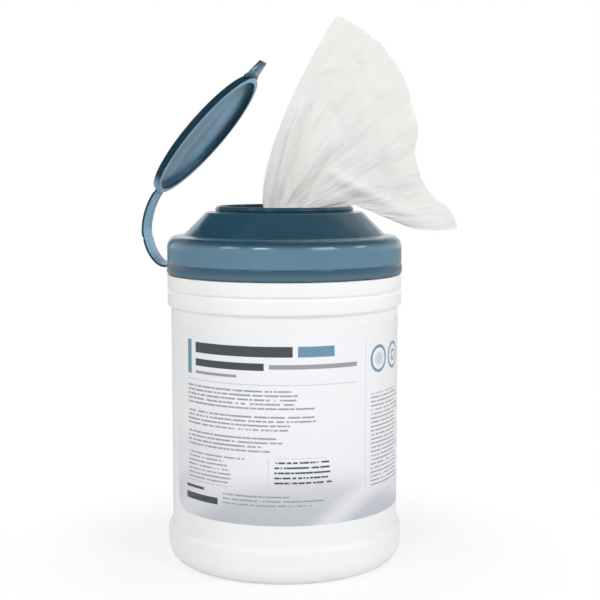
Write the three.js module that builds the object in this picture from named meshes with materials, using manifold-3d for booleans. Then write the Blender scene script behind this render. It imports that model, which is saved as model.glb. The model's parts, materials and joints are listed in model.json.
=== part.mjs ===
// A canister of pre-moistened wipes: a white tub with a wrapped label, a roll of wipes inside,
// and a push-on cap whose round lid stands open on a strap. One wipe is pulled half way out.
// Millimetres, +Z up. The origin is the centre of the base, and the strap is on the -X side.

import * as THREE from 'three';
import { mergeVertices } from 'three/addons/utils/BufferGeometryUtils.js';
import Module from 'manifold-3d';

const wasm = await Module();
wasm.setup();

// Clearances between pieces
const seatGap = 0.3;
const snapGap = 0.3;
const gripGap = 0.4;
const rollGap = 3.2;
const skirtGap = 0.8;
const hingeGap = 0.3;
const roundSegments = 40;

// Tub
const tubRadius = 59;
const tubWall = 1.2;
const baseThickness = 1.6;
const footInset = 5;
const basePadInset = 14;
const baseGrooveWidth = 6;
const baseGrooveDepth = 0.8;
const footBandStep = 2.2;
const footBandLow = 9;
const footBandHigh = 17.5;
const beadStep = 1.8;
const beadHeight = 7;
const beadEdge = 0.5;
const beadGrooveDepth = 1.1;
const beadGrooveWidth = 1.6;
const beadDrop = 12.7;
const beadLining = 2.2;
const neckInset = 0.8;
const snapBeadStep = 0.95;
const snapBeadRise = 2.6;
const rimLandWidth = 1.8;
const rimEdge = 2.4;
const rimThickness = 1.2;

// Label, a film round the tub that leaves a strip bare at the back left
const labelFootMargin = 12.8;
const labelBeadMargin = 6.4;
const labelThickness = 0.35;
const labelStartAngle = -145;
const labelWrapAngle = 336;
const labelSteps = 42;

// Roll of wipes
const wipeWidth = 152;
const coreRadius = 15;
const rollEdge = 1.5;
const rollTurnsShown = 9;
const rollTurnDepth = 1;

// Cap
const capWall = 1.4;
const skirtBandHeight = 5.2;
const skirtBandStep = 0.25;
const shoulderHeight = 19;
const shoulderRise = 5.6;
const shoulderInset = 4.95;
const shoulderCrown = 0.4;
const shoulderFlat = 3.5;
const coneRun = 11.7;
const coneHeight = 12.2;
const coneWallSlant = 1.3;
const ledgeWidth = 5.1;
const collarHeight = 3;
const collarWall = 1.6;
const collarBead = 0.12;
const grooveWidth = 0.8;
const grooveDepth = 0.4;
const wellDepth = 8.6;
const nozzleRadius = 15;
const nozzleRise = 1.8;
const slitCount = 6;
const slitWidth = 1;
const slitMargin = 3;

// Lid and its strap, one moulding with the cap
const lidRimWidth = 2.7;
const lidSideHeight = 3.1;
const lidThickness = 1.2;
const lidDome = 1.6;
const lidHalfwayDome = 1.2;
const lidEdge = 0.7;
const lidHingeHeight = 2;
const lugLength = 0.55;
const tabLength = 9.4;
const tabWidth = 17;
const tabTipWidth = 12;
const tabThickness = 1.6;
const strapWidth = 15.2;
const strapThickness = 1.3;
const strapHingeThickness = 0.4;
const strapTaper = 0.8;
const strapFootHeight = 2.7;
const strapLowerSpan = 19;
const strapUpperSpan = 25.2;
const strapLowerBulge = [4.6, 4.8];
const strapUpperBulge = [3.4, 5];
const strapBowPlaces = [0.1, 0.6];
const strapSteps = 10;

// How far each hinge of the strap is turned open from the closed lid
const footOpening = 40;
const creaseOpening = 7.5;
const lidOpening = 2;

// Wipe that stands in the cap: it spreads like a fan in a plane turned from the strap's plane
const fanTurn = 10.3;
const neckWipeRadius = 4.2;
const tailLength = 66;
const tailEndRadius = 6.4;
const tailRows = 6;
const fanRows = 22;
const fanColumns = 34;
const sheetThickness = 1.1;
const neckShare = 0.3;
const leftPull = { low: [-20, 6], high: [-8, 46] };
const rightPull = { low: [22, 18], high: [62, -14] };
const tornEdgeReach = [
  [26.5, 96], [45, 85], [62.6, 62.5], [68.6, 40], [67.6, 30], [70.5, 14], [79.5, 1], [89.8, -12],
];
const foldCount = 3.4;
const foldDepth = 3.6;
const foldPhase = 0.6;
const foldDepthAtNeck = 0.4;
const pleatCount = 7;
const pleatDepth = 1.5;
const fanBow = 9;
const fanBowPivot = 0.35;

// Radii that follow from the tub's
const footRadius = tubRadius - footInset;
const basePadRadius = footRadius - basePadInset;
const footBandRadius = tubRadius + footBandStep;
const beadRadius = tubRadius + beadStep;
const neckRadius = tubRadius - neckInset;
const rollRadius = tubRadius - tubWall - rollGap;
const snapRadius = neckRadius + snapBeadStep;
const skirtUpperRadius = snapRadius + snapGap + capWall;
const skirtRadius = skirtUpperRadius + skirtBandStep;
const coneFootRadius = skirtUpperRadius - shoulderInset - shoulderFlat;
const ledgeRadius = coneFootRadius - coneRun;
const collarRadius = ledgeRadius - ledgeWidth;
const orificeRadius = neckWipeRadius + gripGap;
const slitReach = nozzleRadius - slitMargin;
const lidRadius = collarRadius + gripGap + lidRimWidth;

// Heights that follow from the roll's
const rollBottom = baseThickness + seatGap;
const rollTop = rollBottom + wipeWidth;
const beadGrooveZ = rollTop - beadDrop;
const beadZoneLow = beadGrooveZ - beadGrooveWidth / 2 - beadHeight;
const beadZoneHigh = beadGrooveZ + beadGrooveWidth / 2 + beadHeight;
const labelBottom = footBandHigh + labelFootMargin;
const labelTop = beadZoneLow - labelBeadMargin;
const skirtBottom = beadZoneHigh + skirtGap;
const capBandTop = skirtBottom + skirtBandHeight;
const shoulderTop = skirtBottom + shoulderHeight;
const coneFoot = shoulderTop + shoulderCrown;
const ledgeTop = shoulderTop + coneHeight;
const collarTop = ledgeTop + collarHeight;
const wellFloor = collarTop - wellDepth;
const nozzleTop = wellFloor + nozzleRise;
const rimTop = shoulderTop - capWall - seatGap;

const radians = THREE.MathUtils.degToRad;

function plastic(colour, roughness) {
  return new THREE.MeshStandardMaterial({ color: colour, roughness, metalness: 0 });
}

const whitePlastic = plastic(0xf0f1f4, 0.35);
const tealPlastic = plastic(0x4b6e82, 0.22);
const labelFilm = plastic(0xe9ecf2, 0.3);
const wetFabric = plastic(0xf0eeea, 0.85);

function toSolid(geometry) {
  const bare = geometry.clone();
  bare.deleteAttribute('normal');
  bare.deleteAttribute('uv');
  const merged = mergeVertices(bare);
  return new wasm.Manifold(new wasm.Mesh({
    numProp: 3,
    vertProperties: merged.attributes.position.array,
    triVerts: Uint32Array.from(merged.index.array),
  }));
}

function toGeometry(solid) {
  const mesh = solid.getMesh();
  const geometry = new THREE.BufferGeometry();
  geometry.setAttribute('position', new THREE.BufferAttribute(mesh.vertProperties, 3));
  geometry.setIndex(new THREE.BufferAttribute(mesh.triVerts, 1));
  geometry.computeVertexNormals();
  return geometry;
}

// A solid of revolution about +Z from [radius, height] points listed anticlockwise
function turnedSolid(profile) {
  const points = profile.map(([radius, height]) => new THREE.Vector2(radius, height));
  const geometry = new THREE.LatheGeometry(points, roundSegments);
  return geometry.rotateX(Math.PI / 2);
}

// Points of an elliptical quarter arc, from angle start to angle end in degrees
function arc(centre, radii, start, end, steps) {
  return Array.from({ length: steps + 1 }, (_, i) => {
    const angle = radians(start + ((end - start) * i) / steps);
    return [centre[0] + radii[0] * Math.cos(angle), centre[1] + radii[1] * Math.sin(angle)];
  });
}

// One raised bead between two heights
function bead(low, high) {
  return [
    [beadRadius - beadEdge, low],
    [beadRadius, low + beadEdge],
    [beadRadius, high - beadEdge],
    [beadRadius - beadEdge, high],
  ];
}

function tub() {
  const grooveOuter = basePadRadius + baseGrooveWidth;
  const snapZ = capBandTop - snapBeadRise / 2;
  const footArc = [footBandRadius - footRadius, footBandLow];
  const liningArc = [footArc[0] - tubWall, footArc[1] - baseThickness];
  const neckInner = neckRadius - tubWall;
  const beadInner = beadRadius - beadLining;
  const profile = [
    [0, 0],
    [basePadRadius, 0],
    [basePadRadius + baseGrooveDepth, baseGrooveDepth],
    [grooveOuter - baseGrooveDepth, baseGrooveDepth],
    [grooveOuter, 0],
    ...arc([footRadius, footBandLow], footArc, -90, 0, 4),
    [footBandRadius, footBandHigh],
    [tubRadius, footBandHigh + tubWall],
    [tubRadius, beadZoneLow - tubWall],
    ...bead(beadZoneLow, beadZoneLow + beadHeight),
    [beadRadius - beadGrooveDepth, beadGrooveZ],
    ...bead(beadZoneHigh - beadHeight, beadZoneHigh),
    [neckRadius, beadZoneHigh],
    [neckRadius, snapZ - snapBeadRise / 2],
    [snapRadius, snapZ],
    [neckRadius, snapZ + snapBeadRise / 2],
    [neckRadius, rimTop - rimEdge],
    [neckRadius - rimEdge, rimTop],
    [neckRadius - tubWall - rimLandWidth, rimTop],
    [neckRadius - tubWall - rimLandWidth, rimTop - rimThickness],
    [neckInner, rimTop - rimThickness - rimLandWidth],
    [neckInner, beadZoneHigh + tubWall],
    [beadInner, beadZoneHigh - tubWall],
    [beadInner, beadZoneLow + tubWall],
    [tubRadius - tubWall, beadZoneLow - tubWall],
    [tubRadius - tubWall, footBandHigh + tubWall],
    [footBandRadius - tubWall, footBandHigh - tubWall],
    ...arc([footRadius, footBandLow], liningArc, 0, -90, 3),
    [0, baseThickness],
  ];
  return turnedSolid(profile);
}

function label() {
  const inner = tubRadius + seatGap;
  const start = radians(labelStartAngle);
  const end = radians(labelStartAngle + labelWrapAngle);
  const shape = new THREE.Shape();
  shape.absarc(0, 0, inner + labelThickness, start, end, false);
  shape.absarc(0, 0, inner, end, start, true);
  const options = { depth: labelTop - labelBottom, bevelEnabled: false, curveSegments: labelSteps };
  return new THREE.ExtrudeGeometry(shape, options).translate(0, 0, labelBottom);
}

function wipeRoll() {
  const turnWidth = (rollRadius - coreRadius) / rollTurnsShown;
  const ridges = [];
  for (let turn = 0; turn < rollTurnsShown; turn += 1) {
    const outer = rollRadius - turn * turnWidth;
    ridges.push([outer, rollTop - rollTurnDepth]);
    ridges.push([outer - turnWidth / 2, rollTop]);
  }
  const profile = [
    [coreRadius, rollBottom],
    [rollRadius - rollEdge, rollBottom],
    [rollRadius, rollBottom + rollEdge],
    ...ridges,
    [coreRadius, rollTop - rollTurnDepth],
    [coreRadius, rollBottom],
  ];
  return turnedSolid(profile);
}

// The star of slits that frees the fingers round the orifice
function orificeCutter() {
  const outline = new THREE.Shape();
  const half = slitWidth / 2;
  for (let slit = 0; slit < slitCount; slit += 1) {
    const turn = (slit * 2 * Math.PI) / slitCount;
    const corners = [
      [orificeRadius, -half],
      [slitReach, -half],
      [slitReach, half],
      [orificeRadius, half],
    ];
    corners.forEach(([x, y], corner) => {
      const point = new THREE.Vector2(x, y).rotateAround(new THREE.Vector2(), turn);
      if (slit + corner === 0) outline.moveTo(point.x, point.y);
      else outline.lineTo(point.x, point.y);
    });
    const between = new THREE.Vector2(orificeRadius, 0);
    between.rotateAround(new THREE.Vector2(), turn + Math.PI / slitCount);
    outline.lineTo(between.x, between.y);
  }
  const options = { depth: wellDepth, bevelEnabled: false };
  return new THREE.ExtrudeGeometry(outline, options).translate(0, 0, wellFloor - wellDepth / 2);
}

function cap() {
  const innerSkirt = skirtUpperRadius - capWall;
  const shoulderArc = [shoulderInset, shoulderRise];
  const shoulderCentre = [skirtUpperRadius - shoulderInset, shoulderTop - shoulderRise];
  const liningArc = [shoulderInset - capWall / 2, shoulderRise - capWall / 2];
  const liningCentre = [innerSkirt - liningArc[0], shoulderTop - capWall - liningArc[1]];
  const collarInner = collarRadius - collarWall;
  const coneLining = capWall * coneWallSlant;
  const profile = [
    [skirtRadius - capWall, skirtBottom],
    [skirtRadius, skirtBottom],
    [skirtRadius, capBandTop - skirtBandStep],
    [skirtUpperRadius, capBandTop],
    ...arc(shoulderCentre, shoulderArc, 0, 90, 5),
    [coneFootRadius, coneFoot],
    [ledgeRadius, ledgeTop - skirtBandStep],
    [ledgeRadius - skirtBandStep, ledgeTop],
    [collarRadius + grooveWidth, ledgeTop],
    [collarRadius + grooveWidth / 2, ledgeTop - grooveDepth],
    [collarRadius, ledgeTop],
    [collarRadius + collarBead, ledgeTop + collarHeight / 2],
    [collarRadius, collarTop - lidEdge],
    [collarRadius - collarWall / 3, collarTop],
    [collarInner + collarWall / 3, collarTop],
    [collarInner, collarTop - lidEdge],
    [collarInner, wellFloor + capWall],
    [collarInner - capWall, wellFloor],
    [nozzleRadius, wellFloor],
    [orificeRadius, nozzleTop],
    [0, nozzleTop],
    [0, nozzleTop - capWall],
    [orificeRadius, nozzleTop - capWall],
    [nozzleRadius, wellFloor - capWall],
    [collarInner + collarWall, wellFloor - capWall],
    [collarInner + collarWall, ledgeTop - capWall],
    [ledgeRadius - capWall / 2, ledgeTop - capWall],
    [coneFootRadius - coneLining / 2, coneFoot - coneLining],
    [liningCentre[0], shoulderTop - capWall],
    ...arc(liningCentre, liningArc, 90, 0, 4).slice(1),
    [innerSkirt, capBandTop],
    [skirtRadius - capWall, skirtBottom],
  ];
  const body = toSolid(turnedSolid(profile));
  return toGeometry(body.subtract(toSolid(orificeCutter())));
}

// In the hinge plane, x points away from the canister's axis and y is height
const footPivot = new THREE.Vector2(skirtRadius + hingeGap, skirtBottom + strapFootHeight);
const lidPivot = new THREE.Vector2(lidRadius + lugLength, ledgeTop + seatGap + lidHingeHeight);

// With the lid closed, the crease is where the two spans of the strap meet outside the cap
function creasePoint() {
  const chord = lidPivot.clone().sub(footPivot);
  const reach = chord.length();
  const along = (strapLowerSpan ** 2 - strapUpperSpan ** 2 + reach ** 2) / (2 * reach);
  const bulge = Math.sqrt(strapLowerSpan ** 2 - along ** 2);
  const direction = chord.divideScalar(reach);
  const outward = new THREE.Vector2(direction.y, -direction.x);
  return footPivot.clone().addScaledVector(direction, along).addScaledVector(outward, bulge);
}

const creasePivot = creasePoint();

// One span of the strap, from the origin to end, thin at both hinges and bowed outwards
function strapSpan(end, bulge) {
  const span = end.length();
  const direction = end.clone().divideScalar(span);
  const outward = new THREE.Vector2(direction.y, -direction.x);
  const at = (along, out) => new THREE.Vector2()
    .addScaledVector(direction, along)
    .addScaledVector(outward, out);
  const curve = new THREE.CubicBezierCurve(
    at(0, 0),
    at(span * strapBowPlaces[0], bulge[0]),
    at(span * strapBowPlaces[1], bulge[1]),
    at(span, 0),
  );
  const length = curve.getLength();
  const stations = [hingeGap / 2];
  for (let step = 0; step <= strapSteps; step += 1) {
    stations.push(strapTaper + ((length - 2 * strapTaper) * step) / strapSteps);
  }
  stations.push(length - hingeGap / 2);
  const edges = stations.map((distance) => {
    const fromEnd = Math.min(distance, length - distance);
    const share = Math.min(1, fromEnd / strapTaper);
    const half = (strapHingeThickness + (strapThickness - strapHingeThickness) * share) / 2;
    const point = curve.getPointAt(distance / length);
    const tangent = curve.getTangentAt(distance / length);
    const normal = new THREE.Vector2(tangent.y, -tangent.x).multiplyScalar(half);
    return { outer: point.clone().add(normal), inner: point.clone().sub(normal) };
  });
  const outline = [
    ...edges.map((edge) => edge.outer),
    ...edges.map((edge) => edge.inner).reverse(),
  ];
  return standingStrip(new THREE.Shape(outline), strapWidth);
}

// A shape drawn in the hinge plane, given a width along the hinge axis
function standingStrip(shape, width) {
  const geometry = new THREE.ExtrudeGeometry(shape, { depth: width, bevelEnabled: false });
  return geometry.rotateX(Math.PI / 2).translate(0, width / 2, 0);
}

// The lid, closed and flat, with its centre at the origin and the rim's edge at height 0
function lidDisc() {
  const recess = lidRadius - lidRimWidth;
  const recessCeiling = collarHeight + seatGap / 2;
  const top = lidSideHeight + lidThickness;
  const profile = [
    [recess, 0],
    [lidRadius, 0],
    [lidRadius, lidSideHeight],
    [lidRadius - lidEdge, lidSideHeight + lidEdge],
    [recess - lidEdge, top],
    [recess / 2, top + lidHalfwayDome],
    [0, top + lidDome],
    [0, top + lidDome - lidThickness],
    [recess / 2, top + lidHalfwayDome - lidThickness],
    [recess, recessCeiling],
    [recess, 0],
  ];
  return turnedSolid(profile);
}

// The lug on the strap's side and the thumb tab opposite it, as plates that run into the rim
function lidPlates() {
  const overlap = lidRimWidth / 2;
  const lugTip = lidRadius + lugLength - hingeGap / 2;
  const half = strapThickness / 2;
  const thin = strapHingeThickness / 2;
  const lugShape = new THREE.Shape([
    new THREE.Vector2(lidRadius - overlap, lidHingeHeight - half),
    new THREE.Vector2(lidRadius, lidHingeHeight - half),
    new THREE.Vector2(lugTip, lidHingeHeight - thin),
    new THREE.Vector2(lugTip, lidHingeHeight + thin),
    new THREE.Vector2(lidRadius, lidHingeHeight + half),
    new THREE.Vector2(lidRadius - overlap, lidHingeHeight + half),
  ]);
  const root = -(lidRadius - overlap);
  const tip = -(lidRadius + tabLength);
  const tipCorner = tip + (tabWidth - tabTipWidth);
  const tabShape = new THREE.Shape([
    new THREE.Vector2(root, tabWidth / 2),
    new THREE.Vector2(tipCorner, tabWidth / 2),
    new THREE.Vector2(tip, tabTipWidth / 2),
    new THREE.Vector2(tip, -tabTipWidth / 2),
    new THREE.Vector2(tipCorner, -tabWidth / 2),
    new THREE.Vector2(root, -tabWidth / 2),
  ]);
  const tabOptions = { depth: tabThickness, bevelEnabled: false };
  const tab = new THREE.ExtrudeGeometry(tabShape, tabOptions);
  return [standingStrip(lugShape, strapWidth), tab.translate(0, 0, lidSideHeight - tabThickness)];
}

function lid() {
  const solid = lidPlates().reduce((sum, plate) => sum.add(toSolid(plate)), toSolid(lidDisc()));
  return toGeometry(solid).translate(-lidPivot.x, 0, -lidHingeHeight);
}

const smooth = (value) => THREE.MathUtils.smoothstep(value, 0, 1);
const mix = THREE.MathUtils.lerp;

// A point of the fan's plane, given sideways from the axis and up from the collar's top
const overCollar = ([side, up]) => new THREE.Vector3(side, 0, collarTop + up);

// The wipe's torn edge, from the tip over a round shoulder and down to the hanging corner
const tornEdge = new THREE.CatmullRomCurve3(tornEdgeReach.map(overCollar));

// Where the wipe's middle surface is at a share across it and a share from the orifice outwards
function fanPoint(across, out) {
  const edge = tornEdge.getPointAt(across);
  const spread = (across - 0.5) * 2;
  const start = new THREE.Vector3(neckWipeRadius * spread, 0, nozzleTop);
  const low = overCollar(leftPull.low).lerp(overCollar(rightPull.low), across);
  const high = overCollar(leftPull.high).lerp(overCollar(rightPull.high), across);
  const curve = new THREE.CubicBezierCurve3(start, low, high, edge);
  const point = curve.getPoint(out);
  const open = smooth(out / neckShare);
  const fold = Math.sin(2 * Math.PI * foldCount * across + foldPhase) * foldDepth * open;
  const pleats = Math.sin(2 * Math.PI * pleatCount * across) * pleatDepth * open * (1 - out);
  const bow = fanBow * out * (across - fanBowPivot);
  point.y = fold * mix(foldDepthAtNeck, 1, out) + pleats + bow;
  return point;
}

function fanThickness(across, out) {
  const spread = (across - 0.5) * 2;
  const bundle = 2 * neckWipeRadius * Math.sqrt(Math.max(0, 1 - spread ** 2));
  return mix(Math.max(bundle, sheetThickness), sheetThickness, smooth(out / neckShare));
}

// One row of the wipe: its middle points and thicknesses from the left selvedge to the right
function wipeRow(row) {
  const cells = [];
  for (let column = 0; column <= fanColumns; column += 1) {
    const across = column / fanColumns;
    if (row >= tailRows) {
      const out = (row - tailRows) / fanRows;
      cells.push({ point: fanPoint(across, out), thickness: fanThickness(across, out) });
    } else {
      const down = 1 - row / tailRows;
      const radius = mix(neckWipeRadius, tailEndRadius, smooth(down * 2 - 1));
      const spread = (across - 0.5) * 2;
      const point = new THREE.Vector3(radius * spread, 0, nozzleTop - tailLength * down);
      const chord = 2 * radius * Math.sqrt(Math.max(0, 1 - spread ** 2));
      cells.push({ point, thickness: Math.max(chord, sheetThickness) });
    }
  }
  return cells;
}

// The wipe as a closed solid: a front sheet, a back sheet and the border between them
function leadWipe() {
  const rows = tailRows + fanRows + 1;
  const columns = fanColumns + 1;
  const positions = [];
  for (const side of [-1, 1]) {
    for (let row = 0; row < rows; row += 1) {
      wipeRow(row).forEach(({ point, thickness }) => {
        positions.push(point.x, point.y + (side * thickness) / 2, point.z);
      });
    }
  }
  const back = rows * columns;
  const index = [];
  const quad = (a, b, c, d) => index.push(a, b, c, a, c, d);
  for (let row = 0; row + 1 < rows; row += 1) {
    for (let column = 0; column + 1 < columns; column += 1) {
      const a = row * columns + column;
      quad(a, a + 1, a + 1 + columns, a + columns);
      quad(back + a, back + a + columns, back + a + 1 + columns, back + a + 1);
    }
  }
  const border = [];
  for (let column = 0; column + 1 < columns; column += 1) border.push(column);
  for (let row = 0; row + 1 < rows; row += 1) border.push(row * columns + columns - 1);
  for (let column = columns - 1; column > 0; column -= 1) border.push((rows - 1) * columns + column);
  for (let row = rows - 1; row > 0; row -= 1) border.push(row * columns);
  border.forEach((a, i) => {
    const b = border[(i + 1) % border.length];
    quad(a, back + a, back + b, b);
  });
  const geometry = new THREE.BufferGeometry();
  geometry.setAttribute('position', new THREE.Float32BufferAttribute(positions, 3));
  geometry.setIndex(index);
  geometry.computeVertexNormals();
  return geometry;
}

function piece(name, geometry, material) {
  const mesh = new THREE.Mesh(geometry, material);
  mesh.name = name;
  return mesh;
}

// A group that turns about a pivot in the hinge plane, opened by an angle in degrees
function hinge(pivot, from, opening) {
  const group = new THREE.Group();
  group.position.set(pivot.x - from.x, 0, pivot.y - from.y);
  group.rotation.y = radians(opening);
  return group;
}

const canister = new THREE.Group();
canister.add(piece('container', tub(), whitePlastic));
canister.add(piece('label', label(), labelFilm));
canister.add(piece('wipe_roll', wipeRoll(), wetFabric));
canister.add(piece('cap', cap(), tealPlastic));

const wipe = piece('lead_wipe', leadWipe(), wetFabric);
wipe.rotation.z = radians(fanTurn);
canister.add(wipe);

const hingeSide = new THREE.Group();
hingeSide.rotation.z = Math.PI;
const footHinge = hinge(footPivot, new THREE.Vector2(), footOpening);
const creaseHinge = hinge(creasePivot, footPivot, creaseOpening);
const lidHinge = hinge(lidPivot, creasePivot, lidOpening);
const lowerEnd = creasePivot.clone().sub(footPivot);
const upperEnd = lidPivot.clone().sub(creasePivot);
footHinge.add(piece('strap_lower', strapSpan(lowerEnd, strapLowerBulge), tealPlastic));
creaseHinge.add(piece('strap_upper', strapSpan(upperEnd, strapUpperBulge), tealPlastic));
lidHinge.add(piece('lid', lid(), tealPlastic));
creaseHinge.add(lidHinge);
footHinge.add(creaseHinge);
hingeSide.add(footHinge);
canister.add(hingeSide);

export default canister;
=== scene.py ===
"""Looks of a canister of moistened wipes: moulded plastics, printed film, strap, lid and cloth."""

import json
import math

import bmesh
import bpy
import numpy as np
from mathutils import Matrix, Vector, noise


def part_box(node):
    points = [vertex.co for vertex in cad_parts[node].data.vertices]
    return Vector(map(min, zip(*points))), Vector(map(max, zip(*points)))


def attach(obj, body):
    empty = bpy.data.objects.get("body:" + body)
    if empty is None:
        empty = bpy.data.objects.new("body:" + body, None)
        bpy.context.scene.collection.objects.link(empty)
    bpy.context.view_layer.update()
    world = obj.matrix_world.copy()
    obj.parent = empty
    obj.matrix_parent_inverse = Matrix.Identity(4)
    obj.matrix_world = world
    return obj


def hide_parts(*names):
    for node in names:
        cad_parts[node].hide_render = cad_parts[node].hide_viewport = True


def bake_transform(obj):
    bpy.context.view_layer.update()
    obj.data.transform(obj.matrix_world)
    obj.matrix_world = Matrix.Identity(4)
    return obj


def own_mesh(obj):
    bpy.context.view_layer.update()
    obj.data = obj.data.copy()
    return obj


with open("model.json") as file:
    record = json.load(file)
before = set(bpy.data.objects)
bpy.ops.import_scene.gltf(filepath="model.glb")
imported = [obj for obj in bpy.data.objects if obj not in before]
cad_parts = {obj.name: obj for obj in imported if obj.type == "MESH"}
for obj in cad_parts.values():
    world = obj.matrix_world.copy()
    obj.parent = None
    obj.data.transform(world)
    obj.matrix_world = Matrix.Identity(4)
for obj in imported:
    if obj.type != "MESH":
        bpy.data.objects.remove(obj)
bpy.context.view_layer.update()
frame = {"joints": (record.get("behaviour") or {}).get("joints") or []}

bl_info = {
    "name": "Wipes canister",
    "version": (1, 0, 0),
    "blender": (4, 5, 0),
    "location": "3D View > Sidebar > Canister",
    "description": "Dresses a canister of wipes in plastic, print and cloth",
    "category": "Object",
}

MM = 0.001

# Heights and radii that the frame gives
TUB_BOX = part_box("container")
CAP_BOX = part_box("cap")
LABEL_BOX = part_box("label")
ROLL_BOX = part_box("wipe_roll")
PIVOTS = {joint["name"]: joint.get("pos_m") for joint in frame["joints"]}
BAND_RADIUS = TUB_BOX[1].x
RIM_TOP = TUB_BOX[1].z
SKIRT_RADIUS = CAP_BOX[1].x
SKIRT_BOTTOM = CAP_BOX[0].z
COLLAR_TOP = CAP_BOX[1].z

# Tub, in metres
TUB_RADIUS = 59.0 * MM
TUB_WALL = 1.2 * MM
BASE_THICKNESS = 1.6 * MM
FOOT_RADIUS = 54.0 * MM
BASE_PAD_RADIUS = 40.0 * MM
BASE_GROOVE = 6.0 * MM
BASE_GROOVE_DEPTH = 0.8 * MM
BAND_LOW = 9.0 * MM
BAND_HIGH = 17.5 * MM
BEAD_RADIUS = 60.8 * MM
BEAD_HEIGHT = 7.0 * MM
BEAD_GROOVE_Z = 141.2 * MM
BEAD_GROOVE_DEPTH = 1.1 * MM
BEAD_GROOVE_WIDTH = 1.6 * MM
BEAD_LINING = 2.2 * MM
NECK_RADIUS = 58.2 * MM
NECK_STEP = 0.1 * MM
BAND_FALL = 1.4 * MM
BEAD_FALL = 1.2 * MM
SNAP_REACH = 0.9 * MM
SNAP_HALF = 1.3 * MM
RIM_EDGE = 2.4 * MM
RIM_LAND = 1.8 * MM
TUB_ROUNDING = 0.7 * MM

# Label, in metres, as a film that starts and wraps by angles round the tub
LABEL_START = math.radians(-145)
LABEL_WRAP = math.radians(336)
LABEL_GAP = 0.1 * MM
LABEL_CORNER = 9.0 * MM
LABEL_COLUMNS = 200
LABEL_ROWS = 40
UV_UNIT = 100

# Roll, in metres
ROLL_CORE = 15.0 * MM
ROLL_TURNS = 34
ROLL_EDGE = 1.5 * MM
ROLL_RIDGE = 1.0 * MM
ROLL_UNEVEN = 0.15 * MM
ROLL_SAG = 0.9 * MM
ROLL_SAG_DEPTH = 2 * MM
ROLL_SAG_SCALE = 90.0
ROLL_STEPS = 96

# Cap, in metres
CAP_WALL = 1.4 * MM
BAND_HEIGHT = 5.2 * MM
BAND_STEP = 0.25 * MM
SHOULDER_TOP = SKIRT_BOTTOM + 19.0 * MM
SHOULDER_RISE = 5.6 * MM
SHOULDER_INSET = 4.95 * MM
SHOULDER_CROWN = 0.4 * MM
CONE_FOOT_RADIUS = 52.4 * MM
CONE_WALL = CAP_WALL * 1.3
LEDGE_TOP = SHOULDER_TOP + 12.2 * MM
LEDGE_RADIUS = 40.7 * MM
LEDGE_EDGE = (0.5 * MM, 0.25 * MM)
COLLAR_RADIUS = 35.6 * MM
COLLAR_WALL = 1.6 * MM
COLLAR_INNER_EDGE = (0.4 * MM, 0.5 * MM)
GROOVE_WIDTH = 0.9 * MM
GROOVE_DEPTH = 0.6 * MM
GROOVE_SLOPE = 0.6
CAP_ROUNDING = 0.5 * MM
WELL_ROUNDING = 0.4 * MM

# Points of the cap's section in millimetres, as steps in or out and up or down
BAND_GROOVE = ((0.15, -0.1), (0.15, 0.25), (0.0, 0.4))
COLLAR_BEAD = ((0.0, 0.9), (0.35, 1.2), (0.35, 1.9))
COLLAR_LIP = ((0.15, 0.7), (0.35, 0.2), (0.75, 0.0))

# Well and orifice, in metres
WELL_FLOOR = COLLAR_TOP - 8.6 * MM
NOZZLE_RADIUS = 15.0 * MM
NOZZLE_RISE = 1.8 * MM
ORIFICE_RADIUS = 4.6 * MM
SLIT_COUNT = 6
SLIT_WIDTH = 1.0 * MM
SLIT_REACH = 12.0 * MM
SLIT_CUT_DEPTH = 8 * MM

# Lid and strap, in metres
LID_RADIUS = 38.7 * MM
LID_RIM_WIDTH = 2.7 * MM
LID_SIDE = 3.1 * MM
LID_THICKNESS = 1.2 * MM
LID_DOME = 1.6 * MM
LID_CROWN = (0.5, 1.2 * MM)
LID_SHOULDER = (0.85, 0.35 * MM)
LID_EDGE_INSET = 0.7 * MM
LID_EDGE_RISE = 0.2 * MM
LID_FLOOR = (0.82, 3.3 * MM)
LID_FLOOR_CORNER = 2.9 * MM
LID_RIM_LINE = 0.35 * MM
LID_ROUNDING = 0.6 * MM
LID_FLOOR_ROUNDING = 0.4 * MM
LID_HINGE_HEIGHT = 2.0 * MM
LUG_LENGTH = 0.55 * MM
LID_TILT = math.radians(49.5)
TAB_LENGTH = 9.4 * MM
TAB_WIDTH = 17.0 * MM
TAB_TIP_WIDTH = 12.0 * MM
TAB_THICKNESS = 1.6 * MM
TAB_WAIST = 0.62
TAB_EDGE = 0.35 * MM
STRAP_WIDTH = 15.2 * MM
STRAP_THICKNESS = 1.3 * MM
STRAP_EDGE = 0.3 * MM
STRAP_ROOT_SHARE = 0.6
STRAP_CUTS = 60
TANGENT_STEP = 0.2 * MM
CREASE_THICKNESS = 0.55 * MM
CREASE_REACH = 0.9 * MM
LOWER_BULGE = (4.6 * MM, 4.8 * MM)
UPPER_BULGE = (2.5 * MM, 4.3 * MM)
BOW_PLACES = (0.1, 0.6)
LOWER_STEPS = 26
UPPER_STEPS = 30

# Outline of the tab: share of the way from the rim to its waist, and half width as a share
TAB_FLARE = ((0.0, 0.82), (0.55, 0.66), (1.0, 0.54))

# Stretches of the strap: name, shares of its length, bodies at its ends and way across the hinge
STRETCHES = (
    ("strap_foot", 0.0, 0.22, "cap", "strap_lower", "strap_foot_hinge", (1.0, 0.3)),
    ("strap_crease", 0.22, 0.68, "strap_lower", "strap_upper", "strap_crease_hinge", (0.0, 1.0)),
    ("strap_lug", 0.68, 1.0, "strap_upper", "lid", "lid_hinge", (-0.5, 0.8)),
)

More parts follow.
